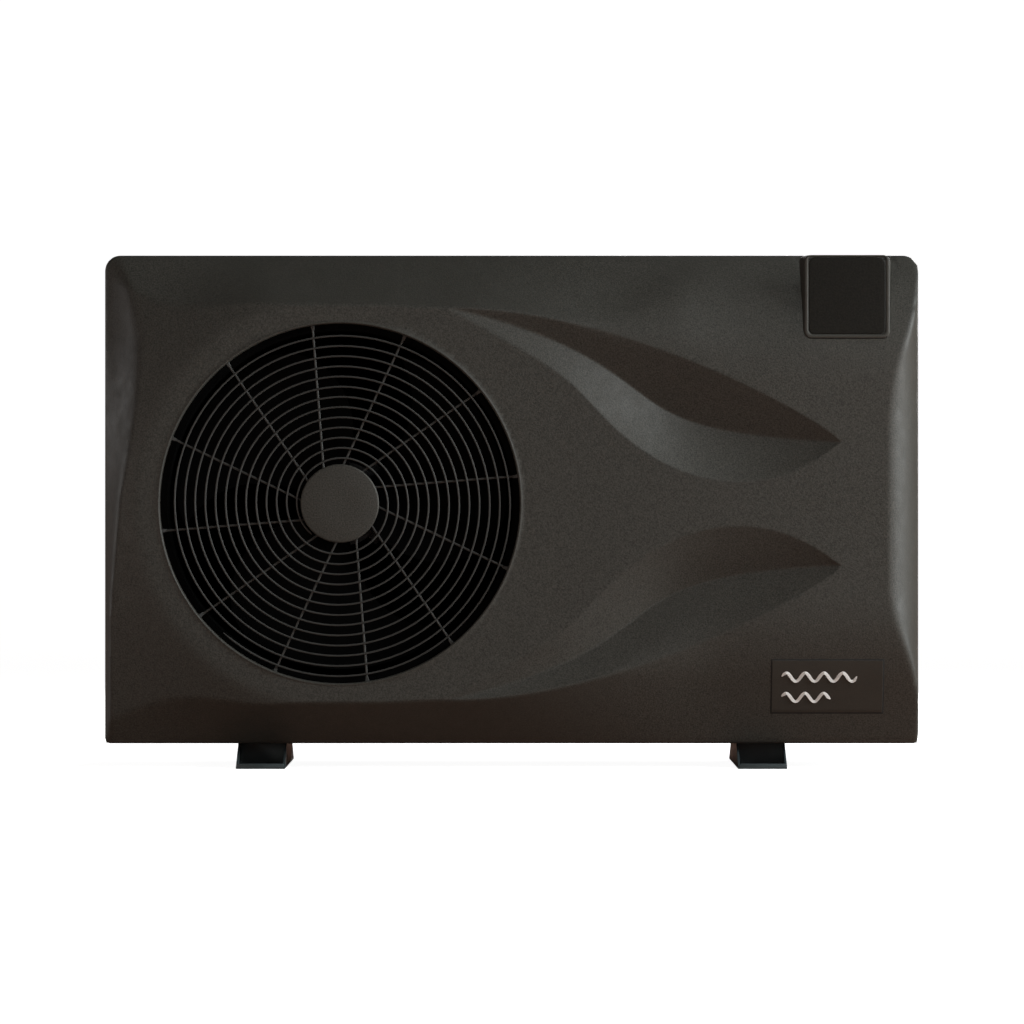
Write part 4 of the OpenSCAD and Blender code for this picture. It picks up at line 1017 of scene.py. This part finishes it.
def screw(lo, hi):
    """A screw whose head fills the outer end of its box, with a cross recess."""
    mid, ax = (lo + hi) / 2, 0 if abs(lo[0] + hi[0]) > 940 else 1
    out, u, v = np.zeros(3), np.zeros(3), np.array([0, 0, 1.0])
    out[ax] = np.sign(mid[0]) if ax == 0 else 1
    u[1 - ax] = 1
    end = mid + out * (hi[ax] - lo[ax]) / 2
    r, h, steps, arm, half = 4.5, 1.2 if ax == 0 else 2.2, 24, 2.1, 0.45
    length = hi[ax] - lo[ax]
    rings = [[end + u * rad * math.cos(a) + v * rad * math.sin(a) - out * down
              for a in np.linspace(0, 2 * math.pi, steps + 1)[:-1]]
             for rad, down in ((1.2, length), (1.9, length - 1), (1.9, h), (r, h), (r, 0.55 * h),
                               (r - 0.6, 0.16 * h), (r - 1.8, 0))]
    verts, faces = loft(rings, cap_last=False)
    cross = [(half, half), (half, arm), (-half, arm), (-half, half), (-arm, half), (-arm, -half),
             (-half, -half), (-half, -arm), (half, -arm), (half, -half), (arm, -half), (arm, half)]
    top = len(verts)
    verts += [end + u * p + v * q for p, q in cross]
    verts += [end + (u * p + v * q) * 0.7 - out * 0.6 * h for p, q in cross]
    circle = [Vector(((r - 1.8) * math.cos(a), (r - 1.8) * math.sin(a), 0))
              for a in np.linspace(0, 2 * math.pi, steps + 1)[:-1]]
    ids = list(range(top - steps, top + 12))
    faces += [tuple(ids[i] for i in t)
              for t in tessellate_polygon([circle, [Vector((p, q, 0)) for p, q in cross]])]
    faces += ring_faces(top, top + 12, 12)
    faces.append(tuple(range(top + 12, top + 24)))
    return verts, faces


verts, faces = [], []
for lo, hi in sorted(islands("panel_screws"), key=lambda b: tuple(b[0])):
    v, f = screw(lo, hi)
    faces += [tuple(i + len(verts) for i in q) for q in f]
    verts += v
ob = add_mesh("casing_screws", verts, faces, sharp=30.0)
bm = bmesh.new()
bm.from_mesh(ob.data)
bmesh.ops.recalc_face_normals(bm, faces=bm.faces)
bm.to_mesh(ob.data)
bm.free()
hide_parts("panel_screws")
finish_piece(ob, "screw_steel")

# ---- Folded lip at the front of each foot ----

parts = []
for node in ("foot_left", "foot_right"):
    lo, hi = box_mm(node)
    rings = [rounded_rect(lo[0] + 1.2 + inset, lo[2] + 0.3 + inset, hi[0] - 1.2 - inset, lo[2] + 6.6 - inset,
                          1.6 - inset, lo[1] + back, n=4)
             for inset, back in ((0.6, 0.1), (0.15, 0.3), (0.0, 0.7), (0.0, 1.9), (0.5, 2.3))]
    parts.append(loft(rings))
ob = add_mesh("foot_lips", *join(parts), sharp=40.0)
finish_piece(ob, "foot_steel")

# ---- Carried-over CAD nodes ----

# The finish of every CAD node, by slot
SLOT_OF = {
    "casing": ("front_panel", "display_housing", "grille_cap"),
    "rear_casing": ("top_cover", "left_panel", "right_panel", "rear_grille", "service_panel", "access_cover"),
    "pan_metal": ("base_pan", "partition", "end_plates", "control_box"),
    "foot_steel": ("foot_left", "foot_right"),
    "screw_steel": ("panel_screws", "fan_shaft", "fan_nut"),
    "plate": ("name_plate",),
    "screen": ("display_screen",),
    "flap": ("display_flap",),
    "keys": ("power_key", "mode_key", "up_key", "down_key"),
    "guard_wire": ("grille_spiral", "grille_spokes"),
    # The motor bracket takes the near-black finish as painted shade inside the unit
    "shroud_black": ("fan_shroud", "fan_blades", "motor_bracket"),
    "fins": ("evaporator_fins",),
    "copper": ("evaporator_tubes", "discharge_pipe", "suction_pipe", "gas_pipe", "evaporator_pipe",
               "liquid_pipe", "filter_drier"),
    "valve_brass": ("four_way_valve", "expansion_valve"),
    # The fan motor is near black here partly as painted shade inside the unit
    "compressor_black": ("compressor", "accumulator", "fan_motor"),
    "mount_rubber": ("compressor_mounts",),
    "moulded_black": ("hinge_pin", "terminal_cover", "inlet_union", "outlet_union", "inlet_nut",
                      "outlet_nut", "flow_switch", "terminal_block", "gauge_case", "cable_glands"),
    "vessel_grey": ("heat_exchanger",),
    "pipe_white": ("inlet_pipe", "outlet_pipe", "flow_paddle"),
    "board_green": ("circuit_board",),
    "needle_red": ("gauge_needle",),
}
for slot, nodes in SLOT_OF.items():
    for node in nodes:
        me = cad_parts[node].data
        me.materials.clear()
        me.materials.append(SLOTS[slot])

# Small rounded edges on the plain sheet and plastic parts
for node, width in (("top_cover", 0.8), ("base_pan", 0.5), ("foot_left", 0.35), ("foot_right", 0.35)):
    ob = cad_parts[node]
    weld = ob.modifiers.new("weld", "WELD")
    weld.merge_threshold = 0.00001
    bev = ob.modifiers.new("edges", "BEVEL")
    bev.width = width * MM
    bev.segments = 2
    bev.harden_normals = True
    bev.limit_method = "ANGLE"
    bev.angle_limit = math.radians(50)

# ---- Stage, light and camera ----


def stage_material(name, pale, bounce, glow):
    """Paper that looks pale itself, and throws less, warmer light back on the object."""
    m = bpy.data.materials.new(name)
    m.use_nodes = True
    nt = m.node_tree
    nt.nodes.clear()
    out = nt.nodes.new("ShaderNodeOutputMaterial")
    seen = nt.nodes.new("ShaderNodeBsdfPrincipled")
    seen.inputs["Base Color"].default_value = (pale, pale, pale, 1)
    seen.inputs["Roughness"].default_value = 0.9
    seen.inputs["Specular IOR Level"].default_value = 0.0
    seen.inputs["Emission Color"].default_value = (1, 1, 1, 1)
    seen.inputs["Emission Strength"].default_value = glow
    dull = nt.nodes.new("ShaderNodeBsdfDiffuse")
    dull.inputs["Color"].default_value = (*bounce, 1)
    path = nt.nodes.new("ShaderNodeLightPath")
    mix = nt.nodes.new("ShaderNodeMixShader")
    nt.links.new(path.outputs["Is Camera Ray"], mix.inputs[0])
    nt.links.new(dull.outputs[0], mix.inputs[1])
    nt.links.new(seen.outputs[0], mix.inputs[2])
    nt.links.new(mix.outputs[0], out.inputs["Surface"])
    return m


def sweep_floor():
    """A pale floor that curves up into a wall far behind the object."""
    profile = [(-40.0, 0.0), (6.0, 0.0)]
    for i in range(1, 13):
        a = math.radians(90 * i / 12)
        profile.append((6.0 + 3.0 * math.sin(a), 3.0 - 3.0 * math.cos(a)))
    profile.append((9.0, 40.0))
    verts = [(x, y, z) for x in (-60.0, 60.0) for y, z in profile]
    n = len(profile)
    faces = [(i, n + i, n + i + 1, i + 1) for i in range(n - 1)]
    me = bpy.data.meshes.new("floor")
    me.from_pydata(verts, [], faces)
    me.shade_smooth()
    ob = bpy.data.objects.new("floor", me)
    scene.collection.objects.link(ob)
    me.materials.append(stage_material("floor_paper", 0.8, (0.42, 0.25, 0.19), 0.95))


sweep_floor()

CENTRE = Vector((0, -0.1, 0.33))


def soft_light(name, place, size, power, colour=(1, 1, 1)):
    light = bpy.data.lights.new(name, "AREA")
    light.shape = "SQUARE"
    light.size = size
    light.energy = power
    light.color = colour
    ob = bpy.data.objects.new(name, light)
    ob.location = place
    ob.rotation_mode = "QUATERNION"
    ob.rotation_quaternion = (CENTRE - Vector(place)).to_track_quat("-Z", "Y")
    scene.collection.objects.link(ob)


# Name, place, size, power and, where it isn't white, colour
LIGHTS = (
    ("key_right", (3.2, -1.6, 1.6), 1.6, 15.0),
    ("key_front", (2.8, -2.6, 1.2), 1.2, 19.0),
    ("right_graze", (3.6, -0.8, 1.0), 1.0, 98.0, (0.92, 0.99, 1.0)),
    ("right_high", (3.0, -2.4, 2.6), 1.2, 60.0, (0.92, 0.99, 1.0)),
    ("side_left", (-3.5, -0.4, 0.7), 1.6, 2.4),
    ("left_back", (-3.5, 0.9, 0.5), 1.4, 17.0),
    ("low_left", (-2.5, -3.0, 0.3), 0.8, 18.0, (1.0, 0.9, 0.82)),
    ("low_front", (0.3, -3.0, 0.45), 0.8, 1.4),
    ("back_soft", (0.8, 3.4, 1.3), 1.6, 90.0),
)
for row in LIGHTS:
    soft_light(*row)

world = bpy.data.worlds.new("studio")
world.use_nodes = True
nt = world.node_tree
seen = nt.nodes["Background"]
seen.inputs["Color"].default_value = (1, 1, 1, 1)
seen.inputs["Strength"].default_value = 0.95
dark = nt.nodes.new("ShaderNodeBackground")
dark.inputs["Color"].default_value = (1, 1, 1, 1)
dark.inputs["Strength"].default_value = 0.01
path = nt.nodes.new("ShaderNodeLightPath")
mix = nt.nodes.new("ShaderNodeMixShader")
nt.links.new(path.outputs["Is Camera Ray"], mix.inputs[0])
nt.links.new(dark.outputs[0], mix.inputs[1])
nt.links.new(seen.outputs[0], mix.inputs[2])
nt.links.new(mix.outputs[0], nt.nodes["World Output"].inputs["Surface"])
scene.world = world

# A long lens straight in front, level with the middle of the unit
cam = bpy.data.cameras.new("camera")
cam.lens = 268.7
cam.sensor_width = 36.0
cam.clip_end = 200.0
camera = bpy.data.objects.new("camera", cam)
camera.location = (0.0006, -9.55, 0.3146)
camera.rotation_euler = (math.radians(90), 0, 0)
scene.collection.objects.link(camera)
scene.camera = camera
scene.view_settings.view_transform = "Standard"
